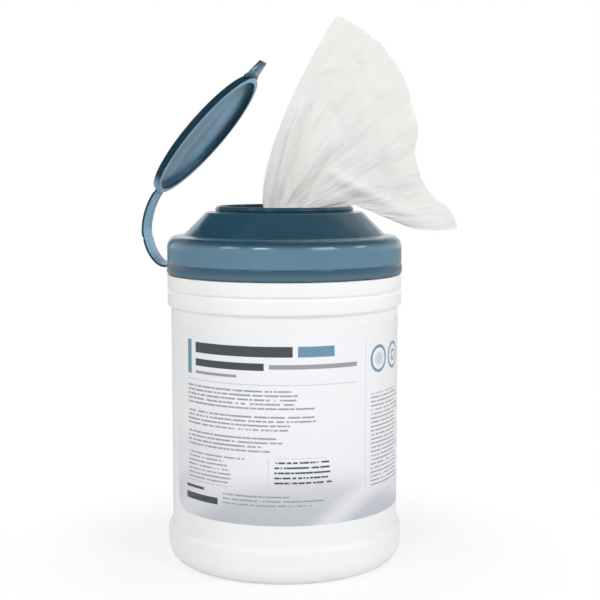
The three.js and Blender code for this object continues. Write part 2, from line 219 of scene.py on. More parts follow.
# How much painted light each part of the lid and the strap gets, from 0 shaded to 1 lit through, and
# how much darker the strap's shaded plastic is
RIM_LIGHT = 0.9
WALL_LIGHT = 0.25
DARK_FACE = 0.05
STRAP_INNER_FACE = 0.45
TAB_INNER_FACE = 0.05
FLOOR_LIGHT = (0.42, 0.28, 0.25)
LUG_LIGHT = (0.8, 0.72, 0.14)
RIM_EDGE_HEIGHT = 0.15 * MM
FLOOR_REACH = 0.985
OUTER_REACH = 1.01
STRAP_PAINTED_SHADE = 0.6

# Wipe, its length in mm and the rest in metres; the fan's plane is turned from the strap's plane
SHEET_LENGTH = 171.0
WIPE_FLAT = (152.0 * MM, SHEET_LENGTH * MM)
FAN_TURN = math.radians(10.3)
FAN_COLUMNS = 230
FAN_ROWS = 130
NOZZLE_TOP = WELL_FLOOR + NOZZLE_RISE
NECK_BUNDLE = 4.0 * MM
TAIL_BUNDLE = 11.2 * MM

# Folds of the wipe, in millimetres and shares, and where it rests on the cap beside the collar
TAIL_DROP = 66.0
TAIL_SHARE = TAIL_DROP / SHEET_LENGTH
PLEATS = 6
PLEAT_START = 0.7
PLEAT_WANDER = 0.15
PLEAT_SHARPNESS = 0.12
NECK_DEPTH = 0.85
PLEAT_DEPTH = 0.85
PLEAT_FADE = 0.45
OPEN_DEPTH = 0.2
OPEN_SHARE = 0.2
RIM_SHARE = 0.22
FAN_LEAN = (9.0, 0.35)
CRINKLE_SCALE = (9.0, 5.0, 3.7)
CRINKLE_TOWARD = 1.1
CRINKLE_SIDE = 0.4
TAIL_CRINKLE = 1.5
TAIL_SPREAD = 1.3
TAIL_TWIST = 1.4
TAIL_WIDTH_SHARE = 0.85
TAIL_DEPTH_SHARE = 0.8
SEAT_EDGES = (33.2, 37.0)
SEAT_SLOPES = (1.4, 0.42)
SEAT_HEIGHT = 0.5
SEAT_START = 28
SEAT_RAMP = 3
SEAT_SOFTNESS = 0.6
RAGGED_SHARE = 0.965
RAGGED_REACH = 1.7 * MM
RAG_SCALE = 38.0
RAG_LEAST = 0.22
TUFT_SCALE = 5.5
TUFT_GAIN = 1.1
TUFT_BIAS = 0.15

# Side and height in mm over the collar's top: pulls on the fan's two sides, then its torn edge
LEFT_PULL = ((-21.0, -9.0), (-7.0, 45.0))
RIGHT_PULL = ((22.0, 2.0), (56.0, -17.0))
TORN_EDGE = (
    (26.5, 96.5),
    (32.0, 94.4),
    (45.0, 86.0),
    (55.5, 75.4),
    (62.8, 62.5),
    (66.6, 50.0),
    (69.2, 39.0),
    (68.2, 31.8),
    (68.3, 25.0),
    (70.0, 17.5),
    (73.8, 9.8),
    (79.5, 3.2),
    (87.2, -3.4),
    (90.6, -12.4),
)

# Camera, in metres and millimetres of lens, for a square picture
CAMERA_PLACE = (0.1266, -0.6514, 0.2040)
CAMERA_LOOK = (-0.1778, 0.9786, -0.1038)
CAMERA_LENS = 76.46
CAMERA_CLIPS = (0.01, 20.0)
SENSOR_WIDTH = 36.0

# Lamps: name, place in metres, side in metres and power in watts
LAMPS = (
    ("left_lamp", (-0.78, -0.72, 0.85), 0.34, 2.7),
    ("camera_left_lamp", (-0.26, -1.05, 0.95), 0.30, 4.8),
    ("camera_right_lamp", (0.86, -0.66, 0.85), 0.46, 6.3),
    ("right_lamp", (1.15, 0.12, 0.8), 0.26, 2.0),
)
LAMP_AIM = Vector((0, 0, 0.13))

# Room: two limits of a measure, then the light at each of them
FLOOR_COLOUR = (0.92, 0.92, 0.92, 1.0)
FLOOR_GLOW = (0.07, 0.16, 0.72, 1.0)
ROOM_WALLS = (-0.3, 0.55, 0.47, 0.95)
ROOM_CEILING = (0.2, 0.75, 1.0, 0.42)

# Moulded plastic: scales of its noises, and how far they reach
FLOW_SCALE = 22.0
SCUFF_SCALE = 260.0
SCUFF_GAIN = 0.16
SKIN_SCALE = 420.0
SKIN_DEPTH = 0.0004

# Cap's painted light, from 0 shaded to 1 lit through by the white neck behind it, with painted shade
# on the lower band and painted reflection at glancing angles: heights, shares and limits
NECK_SHOWS = (1.2 * MM, 4.5 * MM)
BAND_FADE = (1.0 * MM, 0.6 * MM)
BAND_PAINTED_SHADE = (0.55, 0.26)
BAND_EDGE = (0.2 * MM, 0.4 * MM)
CLOUD_SCALE = 26.0
CLOUD_TINT = (0.25, 0.75, 0.82, 1.0)
GLANCING_PAINTED_LIGHT = (0.6, 0.9, 0.0, 0.7)
STREAK_SCALE = 75.0
STREAK_PAINTED_HIGHLIGHT = (0.35, 0.68, 0.66, 1.15)

# Cloth: scales of its noises, painted shade on a single layer and the shares of length where it ends
FIBRE_SCALE = 900.0
CLUMP_SCALE = 190.0
FOLD_SCALE = 55.0
FIBRE_SHADE = 0.10
CLUMP_SHADE = 0.07
CLOTH_ROUGHNESS = 0.82
CLOTH_DEPTH = 0.0006
CLOTH_RELIEF = 0.35
SINGLE_LAYER_PAINTED_SHADE = 0.86
PAINTED_SHADE_ENDS = (0.95, 0.5)

SPIN_STEPS = 144
SHARP_ANGLE = math.radians(32)
WHITE = (1.0, 1.0, 1.0, 1.0)
SKIN_SOCKETS = (("Colour", "Base Color"), ("Roughness", "Roughness"), ("Normal", "Normal"))


def rounded(points, reach, steps=4):
    """The profile with each of its inner corners rounded, up to a reach along its sides."""
    line = [Vector(p) for p in points]
    out = [line[0]]
    for before, corner, after in zip(line, line[1:], line[2:]):
        near = min(reach, (before - corner).length * 0.45, (after - corner).length * 0.45)
        start = corner + (before - corner).normalized() * near
        end = corner + (after - corner).normalized() * near
        for step in range(steps + 1):
            t = step / steps
            out.append(start.lerp(corner, t).lerp(corner.lerp(end, t), t))
    out.append(line[-1])
    return out


def quarter(centre, radii, start, end, steps=10):
    """Points of an elliptical arc between two angles in degrees."""
    angles = [math.radians(start + (end - start) * step / steps) for step in range(steps + 1)]
    return [(centre[0] + radii[0] * math.cos(a), centre[1] + radii[1] * math.sin(a)) for a in angles]


def turned(profile, steps=SPIN_STEPS):
    """A closed mesh of revolution about +Z, spun from radius and height points."""
    bm = bmesh.new()
    verts = [bm.verts.new((radius, 0.0, height)) for radius, height in profile]
    edges = [bm.edges.new(pair) for pair in zip(verts, verts[1:])]
    bmesh.ops.spin(
        bm,
        geom=verts + edges,
        cent=(0, 0, 0),
        axis=(0, 0, 1),
        angle=2 * math.pi,
        steps=steps,
        use_merge=True,
    )
    bmesh.ops.remove_doubles(bm, verts=bm.verts, dist=1e-6)
    bmesh.ops.recalc_face_normals(bm, faces=bm.faces)
    return bm


def slab(corners, height, segments=2, edge=0.0):
    """A plate drawn by its corners, raised by a height, with its edges bevelled."""
    bm = bmesh.new()
    face = bm.faces.new([bm.verts.new((x, y, 0.0)) for x, y in corners])
    raised = bmesh.ops.extrude_face_region(bm, geom=[face], use_keep_orig=True)
    moved = [g for g in raised["geom"] if isinstance(g, bmesh.types.BMVert)]
    bmesh.ops.translate(bm, verts=moved, vec=(0, 0, height))
    bmesh.ops.recalc_face_normals(bm, faces=bm.faces)
    if edge:
        bmesh.ops.bevel(
            bm,
            geom=bm.edges[:],
            offset=edge,
            segments=segments,
            profile=0.5,
            affect="EDGES",
            material=-1,
        )
    return bm


def shade(mesh):
    """Shades the mesh smooth, with its sharp edges kept."""
    mesh.polygons.foreach_set("use_smooth", [True] * len(mesh.polygons))
    mesh.set_sharp_from_angle(angle=SHARP_ANGLE)


def make_object(name, bm, material):
    """An object at the origin that holds the mesh and one material, shaded smooth."""
    mesh = bpy.data.meshes.new(name)
    bm.to_mesh(mesh)
    bm.free()
    shade(mesh)
    piece = bpy.data.objects.new(name, mesh)
    bpy.context.scene.collection.objects.link(piece)
    piece.data.materials.append(material)
    return piece


def apply_modifiers(piece):
    """Makes the modifiers' result the piece's own mesh."""
    graph = bpy.context.evaluated_depsgraph_get()
    mesh = bpy.data.meshes.new_from_object(piece.evaluated_get(graph))
    piece.modifiers.clear()
    piece.data = mesh
    shade(mesh)


def boolean(piece, other, kind):
    """Joins or cuts the piece with another object, which is then removed."""
    modifier = piece.modifiers.new(kind.lower(), "BOOLEAN")
    modifier.object = other
    modifier.operation = kind
    modifier.solver = "EXACT"
    apply_modifiers(piece)
    bpy.data.objects.remove(other)


class Nodes:
    """Short calls that place shader nodes in a tree and link them."""

    def __init__(self, tree):
        self.tree = tree

    def add(self, kind, **settings):
        node = self.tree.nodes.new(kind)
        for key, value in settings.items():
            setattr(node, key, value)
        return node

    def feed(self, socket, value):
        if isinstance(value, bpy.types.NodeSocket):
            self.tree.links.new(value, socket)
        else:
            socket.default_value = value

    def math(self, operation, a, b=0.0, c=None):
        node = self.add("ShaderNodeMath", operation=operation)
        self.feed(node.inputs[0], a)
        self.feed(node.inputs[1], b)
        if c is not None:
            self.feed(node.inputs[2], c)
        return node.outputs[0]

    def mix(self, factor, a, b):
        node = self.add("ShaderNodeMix", data_type="RGBA")
        self.feed(node.inputs["Factor"], factor)
        self.feed(node.inputs[6], a)
        self.feed(node.inputs[7], b)
        return node.outputs[2]

    def ramp(self, value, low, high, out_low=0.0, out_high=1.0):
        node = self.add("ShaderNodeMapRange", interpolation_type="SMOOTHSTEP")
        self.feed(node.inputs["Value"], value)
        self.feed(node.inputs["From Min"], low)
        self.feed(node.inputs["From Max"], high)
        self.feed(node.inputs["To Min"], out_low)
        self.feed(node.inputs["To Max"], out_high)
        return node.outputs["Result"]

    def noise(self, vector, scale, detail=4.0, roughness=0.5):
        node = self.add("ShaderNodeTexNoise")
        self.feed(node.inputs["Vector"], vector)
        self.feed(node.inputs["Scale"], scale)
        self.feed(node.inputs["Detail"], detail)
        self.feed(node.inputs["Roughness"], roughness)
        return node.outputs["Fac"]

    def place(self, vector, scale=(1, 1, 1), location=(0, 0, 0)):
        node = self.add("ShaderNodeMapping")
        self.feed(node.inputs["Vector"], vector)
        node.inputs["Scale"].default_value = scale
        node.inputs["Location"].default_value = location
        return node.outputs["Vector"]

    def bump(self, height, strength, distance):
        node = self.add("ShaderNodeBump")
        self.feed(node.inputs["Height"], height)
        self.feed(node.inputs["Strength"], strength)
        self.feed(node.inputs["Distance"], distance)
        return node.outputs["Normal"]

    def group(self, name, **values):
        node = self.add("ShaderNodeGroup", node_tree=bpy.data.node_groups[name])
        for key, value in values.items():
            self.feed(node.inputs[key.replace("_", " ")], value)
        return node


def new_group(name, inputs, outputs):
    """A shader node group with named sockets, and its input and output nodes."""
    tree = bpy.data.node_groups.new(name, "ShaderNodeTree")
    for label, kind, value in inputs:
        socket = tree.interface.new_socket(label, in_out="INPUT", socket_type=kind)
        if value is not None:
            socket.default_value = value
    for label, kind in outputs:
        tree.interface.new_socket(label, in_out="OUTPUT", socket_type=kind)
    nodes = Nodes(tree)
    source = nodes.add("NodeGroupInput").outputs
    sink = nodes.add("NodeGroupOutput").inputs
    return nodes, source, sink


FLOAT, COLOUR, VECTOR = "NodeSocketFloat", "NodeSocketColor", "NodeSocketVector"


def moulded_group():
    """Moulded plastic: a faint flow of colour, uneven gloss and the skin's fine ripple."""
    inputs = (
        ("Colour", COLOUR, (0.5, 0.5, 0.5, 1.0)),
        ("Shift", FLOAT, 0.06),
        ("Roughness", FLOAT, 0.3),
        ("Ripple", FLOAT, 0.1),
    )
    outputs = (("Colour", COLOUR), ("Roughness", FLOAT), ("Normal", VECTOR))
    n, source, sink = new_group("moulded_skin", inputs, outputs)
    place = n.add("ShaderNodeTexCoord").outputs["Object"]
    flow = n.noise(n.place(place, (1, 1, 0.35)), FLOW_SCALE, 3.0)
    cloud = n.ramp(flow, 0.3, 0.7)
    darker = n.math("SUBTRACT", 1.0, n.math("MULTIPLY", cloud, source["Shift"]))
    tint = n.add("ShaderNodeVectorMath", operation="SCALE")
    n.feed(tint.inputs[0], source["Colour"])
    n.feed(tint.inputs["Scale"], darker)
    scuff = n.noise(place, SCUFF_SCALE, 5.0, 0.65)
    scuff = n.math("SUBTRACT", scuff, 0.5)
    rough = n.math("MULTIPLY_ADD", scuff, SCUFF_GAIN, source["Roughness"])
    skin = n.math("ADD", n.noise(place, SKIN_SCALE, 2.0), n.math("MULTIPLY", flow, 2.0))
    n.feed(sink["Colour"], tint.outputs[0])
    n.feed(sink["Roughness"], rough)
    n.feed(sink["Normal"], n.bump(skin, source["Ripple"], SKIN_DEPTH))


def bar_group():
    """Mask of an upright printed bar, 1 inside and 0 outside, on flat coordinates in mm."""
    inputs = [(label, FLOAT, 0.0) for label in ("X", "Y", "Left", "Right", "Low", "High")]
    n, source, sink = new_group("printed_bar", inputs, (("Mask", FLOAT),))
    sides = (("X", "Left"), ("Right", "X"), ("Y", "Low"), ("High", "Y"))
    inside = [
        n.ramp(n.math("SUBTRACT", source[more], source[less]), -PRINT_EDGE, PRINT_EDGE)
        for more, less in sides
    ]
    across = n.math("MULTIPLY", inside[0], inside[1])
    up = n.math("MULTIPLY", inside[2], inside[3])
    n.feed(sink["Mask"], n.math("MULTIPLY", across, up))


def ring_group():
    """Mask of a printed ring or, with a line as wide as its radius, of a disc."""
    inputs = [(label, FLOAT, 0.0) for label in ("X", "Y", "Centre X", "Centre Y")]
    inputs += [("Radius", FLOAT, 5.0), ("Line", FLOAT, 0.5), ("Softness", FLOAT, 0.1)]
    n, source, sink = new_group("printed_ring", inputs, (("Mask", FLOAT),))
    dx = n.math("SUBTRACT", source["X"], source["Centre X"])
    dy = n.math("SUBTRACT", source["Y"], source["Centre Y"])
    squares = n.math("ADD", n.math("MULTIPLY", dx, dx), n.math("MULTIPLY", dy, dy))
    off = n.math("ABSOLUTE", n.math("SUBTRACT", n.math("SQRT", squares), source["Radius"]))
    inside = n.math("SUBTRACT", source["Line"], off)
    edge = n.math("MULTIPLY", source["Softness"], -1.0)
    n.feed(sink["Mask"], n.ramp(inside, edge, source["Softness"]))


def rows_group():
    """Mask of a block of fine printed rows, each a run of dashes of uneven length."""
    inputs = [(label, FLOAT, 0.0) for label in ("X", "Y", "Left", "Right", "Low", "High")]
    inputs += [("Pitch", FLOAT, 2.4), ("Fill", FLOAT, 0.4), ("Dash", FLOAT, 0.8)]
    n, source, sink = new_group("printed_rows", inputs, (("Mask", FLOAT),))
    row = n.math("DIVIDE", source["Y"], source["Pitch"])
    number = n.math("FLOOR", row)
    rise = n.math("ABSOLUTE", n.math("SUBTRACT", n.math("SUBTRACT", row, number), 0.5))
    band = n.ramp(n.math("SUBTRACT", source["Fill"], n.math("MULTIPLY", rise, 2.0)), -0.12, 0.12)
    spot = n.add("ShaderNodeCombineXYZ")
    n.feed(spot.inputs[0], n.math("MULTIPLY", source["X"], source["Dash"]))
    n.feed(spot.inputs[1], n.math("MULTIPLY", number, 7.3))
    words = n.ramp(n.noise(spot.outputs[0], 1.0, 1.0), 0.38, 0.43)
    start = n.add("ShaderNodeCombineXYZ")
    n.feed(start.inputs[0], n.math("MULTIPLY", number, 3.1))
    indent = n.noise(start.outputs[0], 1.0, 0.0)
    shortened = n.math("MULTIPLY", n.math("SUBTRACT", source["Right"], source["Left"]), 0.7)
    right = n.math("SUBTRACT", source["Right"], n.math("MULTIPLY", indent, shortened))
    block = n.group("printed_bar", X=source["X"], Y=source["Y"], Left=source["Left"], Right=right,
                    Low=source["Low"], High=source["High"])
    inked = n.math("MULTIPLY", band, words)
    n.feed(sink["Mask"], n.math("MULTIPLY", inked, block.outputs["Mask"]))


def fibre_group():
    """Nonwoven cloth: crossed fibres, soft clumps and a faint crinkle."""
    inputs = (("Colour", COLOUR, (0.8, 0.8, 0.8, 1.0)), ("Relief", FLOAT, 0.3))
    outputs = (("Colour", COLOUR), ("Roughness", FLOAT), ("Normal", VECTOR))
    n, source, sink = new_group("nonwoven", inputs, outputs)
    place = n.add("ShaderNodeUVMap", uv_map="cloth").outputs["UV"]
    along = n.noise(n.place(place, (1.0, 0.12, 1.0)), FIBRE_SCALE, 3.0, 0.7)
    across = n.noise(n.place(place, (0.12, 1.0, 1.0)), FIBRE_SCALE, 3.0, 0.7)
    fibres = n.math("MAXIMUM", along, across)
    clumps = n.noise(place, CLUMP_SCALE, 5.0, 0.6)
    crinkle = n.noise(place, FOLD_SCALE, 3.0, 0.55)
    tone = n.math("MULTIPLY_ADD", n.math("SUBTRACT", clumps, 0.5), CLUMP_SHADE, 1.0)
    tone = n.math("MULTIPLY_ADD", n.math("SUBTRACT", fibres, 0.55), FIBRE_SHADE, tone)
    tint = n.add("ShaderNodeVectorMath", operation="SCALE")
    n.feed(tint.inputs[0], source["Colour"])
    n.feed(tint.inputs["Scale"], tone)
    height = n.math("ADD", n.math("MULTIPLY", fibres, 0.5), n.math("MULTIPLY", clumps, 0.6))
    height = n.math("MULTIPLY_ADD", crinkle, 1.6, height)
    n.feed(sink["Colour"], tint.outputs[0])
    n.feed(sink["Roughness"], n.math("MULTIPLY_ADD", clumps, 0.1, CLOTH_ROUGHNESS))
    n.feed(sink["Normal"], n.bump(height, source["Relief"], CLOTH_DEPTH))


def build_groups():
    """Every shared shader group, built once."""
    for build in (moulded_group, bar_group, ring_group, rows_group, fibre_group):
        build()


def dress(nodes, shader, skin):
    """Feeds a skin group's colour, roughness and normal to the shader."""
    for output, socket in SKIN_SOCKETS:
        nodes.feed(shader.inputs[socket], skin.outputs[output])


def new_material(name, **settings):
    """A material with a Principled shader whose plain settings are given by socket name."""
    material = bpy.data.materials.new(name)
    material.use_nodes = True
    shader = material.node_tree.nodes["Principled BSDF"]
    for key, value in settings.items():
        shader.inputs[key.replace("_", " ")].default_value = value
    return material, Nodes(material.node_tree), shader


def moulded_material(name, colour, shift, roughness, ripple, **settings):
    """Moulded plastic of one colour."""
    material, n, shader = new_material(name, **settings)
    skin = n.group("moulded_skin", Colour=(*colour, 1.0), Shift=shift, Roughness=roughness,
                   Ripple=ripple)
    dress(n, shader, skin)
    return material


def cap_material(name, dark, light):
    """Glossy see-through plastic with painted light: lighter where light shines through from the
    white neck behind it, with painted shade on the lower band and painted reflection at glancing
    angles.
    """
    _, n, shader = new_material(name, Specular_IOR_Level=0.30, Coat_Weight=0.07, Coat_Roughness=0.05)
    place = n.add("ShaderNodeTexCoord").outputs["Object"]
    split = n.add("ShaderNodeSeparateXYZ")
    n.feed(split.inputs[0], place)
    height = split.outputs[2]
    # Painted light: lighter where light shines through from the white neck behind, in mottled clouds
    skirt = n.ramp(height, SHOULDER_TOP - NECK_SHOWS[0], SHOULDER_TOP - NECK_SHOWS[1])
    band_top = SKIRT_BOTTOM + BAND_HEIGHT
    # Painted shade on the lower band, darkest just under its top edge
    below = n.ramp(height, SKIRT_BOTTOM + BAND_FADE[0], band_top - BAND_FADE[1], *BAND_PAINTED_SHADE)
    above = n.ramp(height, band_top - BAND_EDGE[0], band_top + BAND_EDGE[1])
    cloud = n.noise(n.place(place, (1, 1, 0.3)), CLOUD_SCALE, 3.0)
    painted_through_light = n.math("MULTIPLY", skirt, n.math("MAXIMUM", below, above))
    painted_through_light = n.math("MULTIPLY", painted_through_light, n.ramp(cloud, *CLOUD_TINT))
    # Painted reflection: lighter at glancing angles on the cone above the skirt
    facing = n.add("ShaderNodeLayerWeight").outputs["Facing"]
    painted_glancing_light = n.math("MULTIPLY", n.ramp(facing, *GLANCING_PAINTED_LIGHT), n.math("SUBTRACT", 1.0, skirt))
    painted_through_light = n.math("MAXIMUM", painted_through_light, painted_glancing_light)
    tint = n.mix(painted_through_light, (*dark, 1.0), (*light, 1.0))
    dress(n, shader, n.group("moulded_skin", Colour=tint, Shift=0.10, Roughness=0.16, Ripple=0.08))


def strap_material(name, dark, light):
    """The cap's plastic on the lid and the strap: lighter where the mesh carries painted light,
    streaked with painted highlights.
    """
    _, n, shader = new_material(name, Specular_IOR_Level=0.07, Coat_Weight=0.02, Coat_Roughness=0.05)
    place = n.add("ShaderNodeTexCoord").outputs["Object"]
    # Painted streaks of highlight across the painted light
    painted_highlight_streaks = n.noise(n.place(place, (0.35, 1.0, 0.3)), STREAK_SCALE, 4.0, 0.6)
    thinness_and_painted_light = n.add("ShaderNodeAttribute", attribute_name="thinness_and_painted_light").outputs["Fac"]
    thinness_and_painted_light = n.math("MULTIPLY", thinness_and_painted_light, n.ramp(painted_highlight_streaks, *STREAK_PAINTED_HIGHLIGHT))
    tint = n.mix(thinness_and_painted_light, (*dark, 1.0), (*light, 1.0))
    dress(n, shader, n.group("moulded_skin", Colour=tint, Shift=0.08, Roughness=0.2, Ripple=0.10))


def cloth_material(name, colour, relief):
    """Moist nonwoven cloth, with painted shade that makes it darker where it is one layer than where
    it is gathered.
    """
    material, n, shader = new_material(
        name,
        Subsurface_Weight=0.3,
        Subsurface_Radius=(1.0, 0.95, 0.9),
        Subsurface_Scale=0.004,
        Sheen_Weight=0.15,
        Specular_IOR_Level=0.25,
    )
    along = n.add("ShaderNodeSeparateXYZ")
    n.feed(along.inputs[0], n.add("ShaderNodeUVMap", uv_map="cloth").outputs["UV"])
    # Painted shade: the single layer towards the torn edge darker than the gathered base
    painted_shade_colour = [channel * SINGLE_LAYER_PAINTED_SHADE for channel in colour]
    ends = [WIPE_FLAT[1] * share for share in PAINTED_SHADE_ENDS]
    layers = n.ramp(along.outputs[1], *ends)
    tint = n.mix(layers, (*painted_shade_colour, 1.0), (*colour, 1.0))
    dress(n, shader, n.group("nonwoven", Colour=tint, Relief=relief))
    return material


# Print, in millimetres from the film's lower left corner: kind, ink and places
DARK_INK = (0.045, 0.055, 0.07, 1.0)
STEEL_INK = (0.13, 0.27, 0.38, 1.0)
GREY_INK = (0.30, 0.31, 0.34, 1.0)
PALE_INK = (0.60, 0.64, 0.72, 1.0)
FILM_WHITE = (0.82, 0.83, 0.85, 1.0)
FILM_LILAC = (0.42, 0.43, 0.49, 1.0)
FILM_SHEEN = (0.82, 0.83, 0.87, 1.0)
FILM_FADE = (50.0, -4.0, 0.0, 0.85)
SHEEN_STRENGTH = 0.6
PRINT_EDGE = 0.1
PRINTED_BARS = (
    (STEEL_INK, 12.0, 15.2, 72.0, 89.0),
    (DARK_INK, 18.5, 72.0, 82.8, 88.0),
    (STEEL_INK, 74.5, 93.0, 82.8, 88.0),
    (DARK_INK, 18.5, 58.0, 76.2, 79.8),
    (GREY_INK, 60.5, 106.0, 77.0, 79.2),
    (GREY_INK, 18.5, 44.0, 72.4, 73.8),
    (PALE_INK, 12.0, 106.0, 69.0, 69.5),
    (DARK_INK, 10.0, 24.0, 14.2, 15.6),
    (DARK_INK, 10.0, 33.0, 8.2, 11.6),
    (PALE_INK, 60.0, 60.4, 19.5, 33.5),
    (PALE_INK, 112.0, 112.4, 12.0, 89.0),
    (STEEL_INK, 170.0, 320.0, 82.0, 86.0),
    (DARK_INK, 176.0, 240.0, 72.0, 76.0),
)
PRINTED_ROWS = (
    (GREY_INK, 12.0, 108.0, 57.0, 67.6, 2.1, 0.40),
    (GREY_INK, 12.0, 108.0, 46.6, 55.2, 2.1, 0.40),
    (GREY_INK, 12.0, 92.0, 35.6, 44.6, 2.1, 0.40),
    (GREY_INK, 12.0, 56.0, 18.0, 33.4, 2.1, 0.36),
    (DARK_INK, 63.0, 106.0, 20.0, 33.4, 2.5, 0.36),
    (GREY_INK, 36.0, 106.0, 8.0, 16.0, 2.2, 0.34),
    (GREY_INK, 116.0, 160.0, 14.0, 62.0, 2.1, 0.36),
    (GREY_INK, 176.0, 320.0, 12.0, 68.0, 2.1, 0.36),
)
PRINTED_RINGS = (
    (STEEL_INK, 122.5, 79.0, 6.2, 0.75),
    (PALE_INK, 122.5, 79.0, 1.7, 1.7),
    (STEEL_INK, 138.5, 79.0, 6.2, 0.75),
    (STEEL_INK, 138.5, 79.0, 2.4, 0.6),
)
SWOOSHES = (
    (96.0, -92.0, 128.0, 9.0),
    (60.0, -150.0, 182.0, 7.0),
    (150.0, -70.0, 92.0, 5.0),
)


def film_material():
    """Printed film: white fading to lilac grey, soft swooshes, bars, rings and fine rows."""
    material, n, shader = new_material("printed_film", Specular_IOR_Level=0.5, Coat_Weight=0.12)
    split = n.add("ShaderNodeSeparateXYZ")
    n.feed(split.inputs[0], n.add("ShaderNodeUVMap", uv_map="film_mm").outputs["UV"])
    across = n.math("MULTIPLY", split.outputs[0], UV_UNIT)
    up = n.math("MULTIPLY", split.outputs[1], UV_UNIT)
    colour = n.mix(n.ramp(up, *FILM_FADE), FILM_WHITE, FILM_LILAC)
    for centre_x, centre_y, radius, line in SWOOSHES:
        swoosh = n.group("printed_ring", X=across, Y=up, Centre_X=centre_x, Centre_Y=centre_y,
                         Radius=radius, Line=line, Softness=line * 0.9)
        faint = n.math("MULTIPLY", swoosh.outputs["Mask"], SHEEN_STRENGTH)
        colour = n.mix(faint, colour, FILM_SHEEN)
    masks = []
    for ink, left, right, low, high in PRINTED_BARS:
        bar = n.group("printed_bar", X=across, Y=up, Left=left, Right=right, Low=low, High=high)
        masks.append((ink, bar.outputs["Mask"]))
    for ink, left, right, low, high, pitch, fill in PRINTED_ROWS:
        rows = n.group("printed_rows", X=across, Y=up, Left=left, Right=right, Low=low, High=high,
                       Pitch=pitch, Fill=fill)
        masks.append((ink, rows.outputs["Mask"]))
    for ink, centre_x, centre_y, radius, line in PRINTED_RINGS:
        ring = n.group("printed_ring", X=across, Y=up, Centre_X=centre_x, Centre_Y=centre_y,
                       Radius=radius, Line=line)
        masks.append((ink, ring.outputs["Mask"]))
    for ink, mask in masks:
        colour = n.mix(mask, colour, ink)
    n.feed(shader.inputs["Base Color"], colour)
    place = n.add("ShaderNodeTexCoord").outputs["Object"]
    wrinkle = n.noise(n.place(place, (1.0, 1.0, 0.4)), 30.0, 2.0)
    n.feed(shader.inputs["Normal"], n.bump(wrinkle, 0.12, 0.0006))
    n.feed(shader.inputs["Roughness"], n.ramp(n.noise(place, 80.0), 0.2, 0.8, 0.30, 0.42))
    return material


def tub_profile():
    """Radius and height points round the tub's wall, from the base's centre and back to it."""
    low = BEAD_GROOVE_Z - BEAD_GROOVE_WIDTH / 2
    high = BEAD_GROOVE_Z + BEAD_GROOVE_WIDTH / 2
    groove_out = BASE_PAD_RADIUS + BASE_GROOVE
    foot = (BAND_RADIUS - FOOT_RADIUS, BAND_LOW)
    lining = (foot[0] - TUB_WALL, foot[1] - BASE_THICKNESS)
    snap = SKIRT_BOTTOM + BAND_HEIGHT - SNAP_HALF
    outer = [
        (0, 0),
        (BASE_PAD_RADIUS, 0),
        (BASE_PAD_RADIUS + BASE_GROOVE_DEPTH, BASE_GROOVE_DEPTH),
        (groove_out - BASE_GROOVE_DEPTH, BASE_GROOVE_DEPTH),
        (groove_out, 0),
        *quarter((FOOT_RADIUS, BAND_LOW), foot, -90, 0),
        (BAND_RADIUS, BAND_HIGH),
        (TUB_RADIUS, BAND_HIGH + BAND_FALL),
        (TUB_RADIUS, low - BEAD_HEIGHT - BEAD_FALL),
        (BEAD_RADIUS, low - BEAD_HEIGHT),
        (BEAD_RADIUS, low),
        (BEAD_RADIUS - BEAD_GROOVE_DEPTH, BEAD_GROOVE_Z),
        (BEAD_RADIUS, high),
        (BEAD_RADIUS, high + BEAD_HEIGHT),
        (NECK_RADIUS, high + BEAD_HEIGHT + NECK_STEP),
        (NECK_RADIUS, snap - SNAP_HALF),
        (NECK_RADIUS + SNAP_REACH, snap),
        (NECK_RADIUS, snap + SNAP_HALF),
        (NECK_RADIUS, RIM_TOP - RIM_EDGE),
        (NECK_RADIUS - RIM_EDGE, RIM_TOP),
        (NECK_RADIUS - TUB_WALL - RIM_LAND, RIM_TOP),
    ]
    inner = [
        (NECK_RADIUS - TUB_WALL - RIM_LAND, RIM_TOP - TUB_WALL),
        (NECK_RADIUS - TUB_WALL, RIM_TOP - TUB_WALL - RIM_LAND),
        (NECK_RADIUS - TUB_WALL, high + BEAD_HEIGHT + TUB_WALL),
        (BEAD_RADIUS - BEAD_LINING, high + BEAD_HEIGHT - TUB_WALL),
        (BEAD_RADIUS - BEAD_LINING, low - BEAD_HEIGHT + TUB_WALL),
        (TUB_RADIUS - TUB_WALL, low - BEAD_HEIGHT - TUB_WALL),
        (TUB_RADIUS - TUB_WALL, BAND_HIGH + TUB_WALL),
        (BAND_RADIUS - TUB_WALL, BAND_HIGH - TUB_WALL),
        *quarter((FOOT_RADIUS, BAND_LOW), lining, 0, -90),
        (0, BASE_THICKNESS),
    ]
    return rounded(outer + inner, TUB_ROUNDING, steps=3)


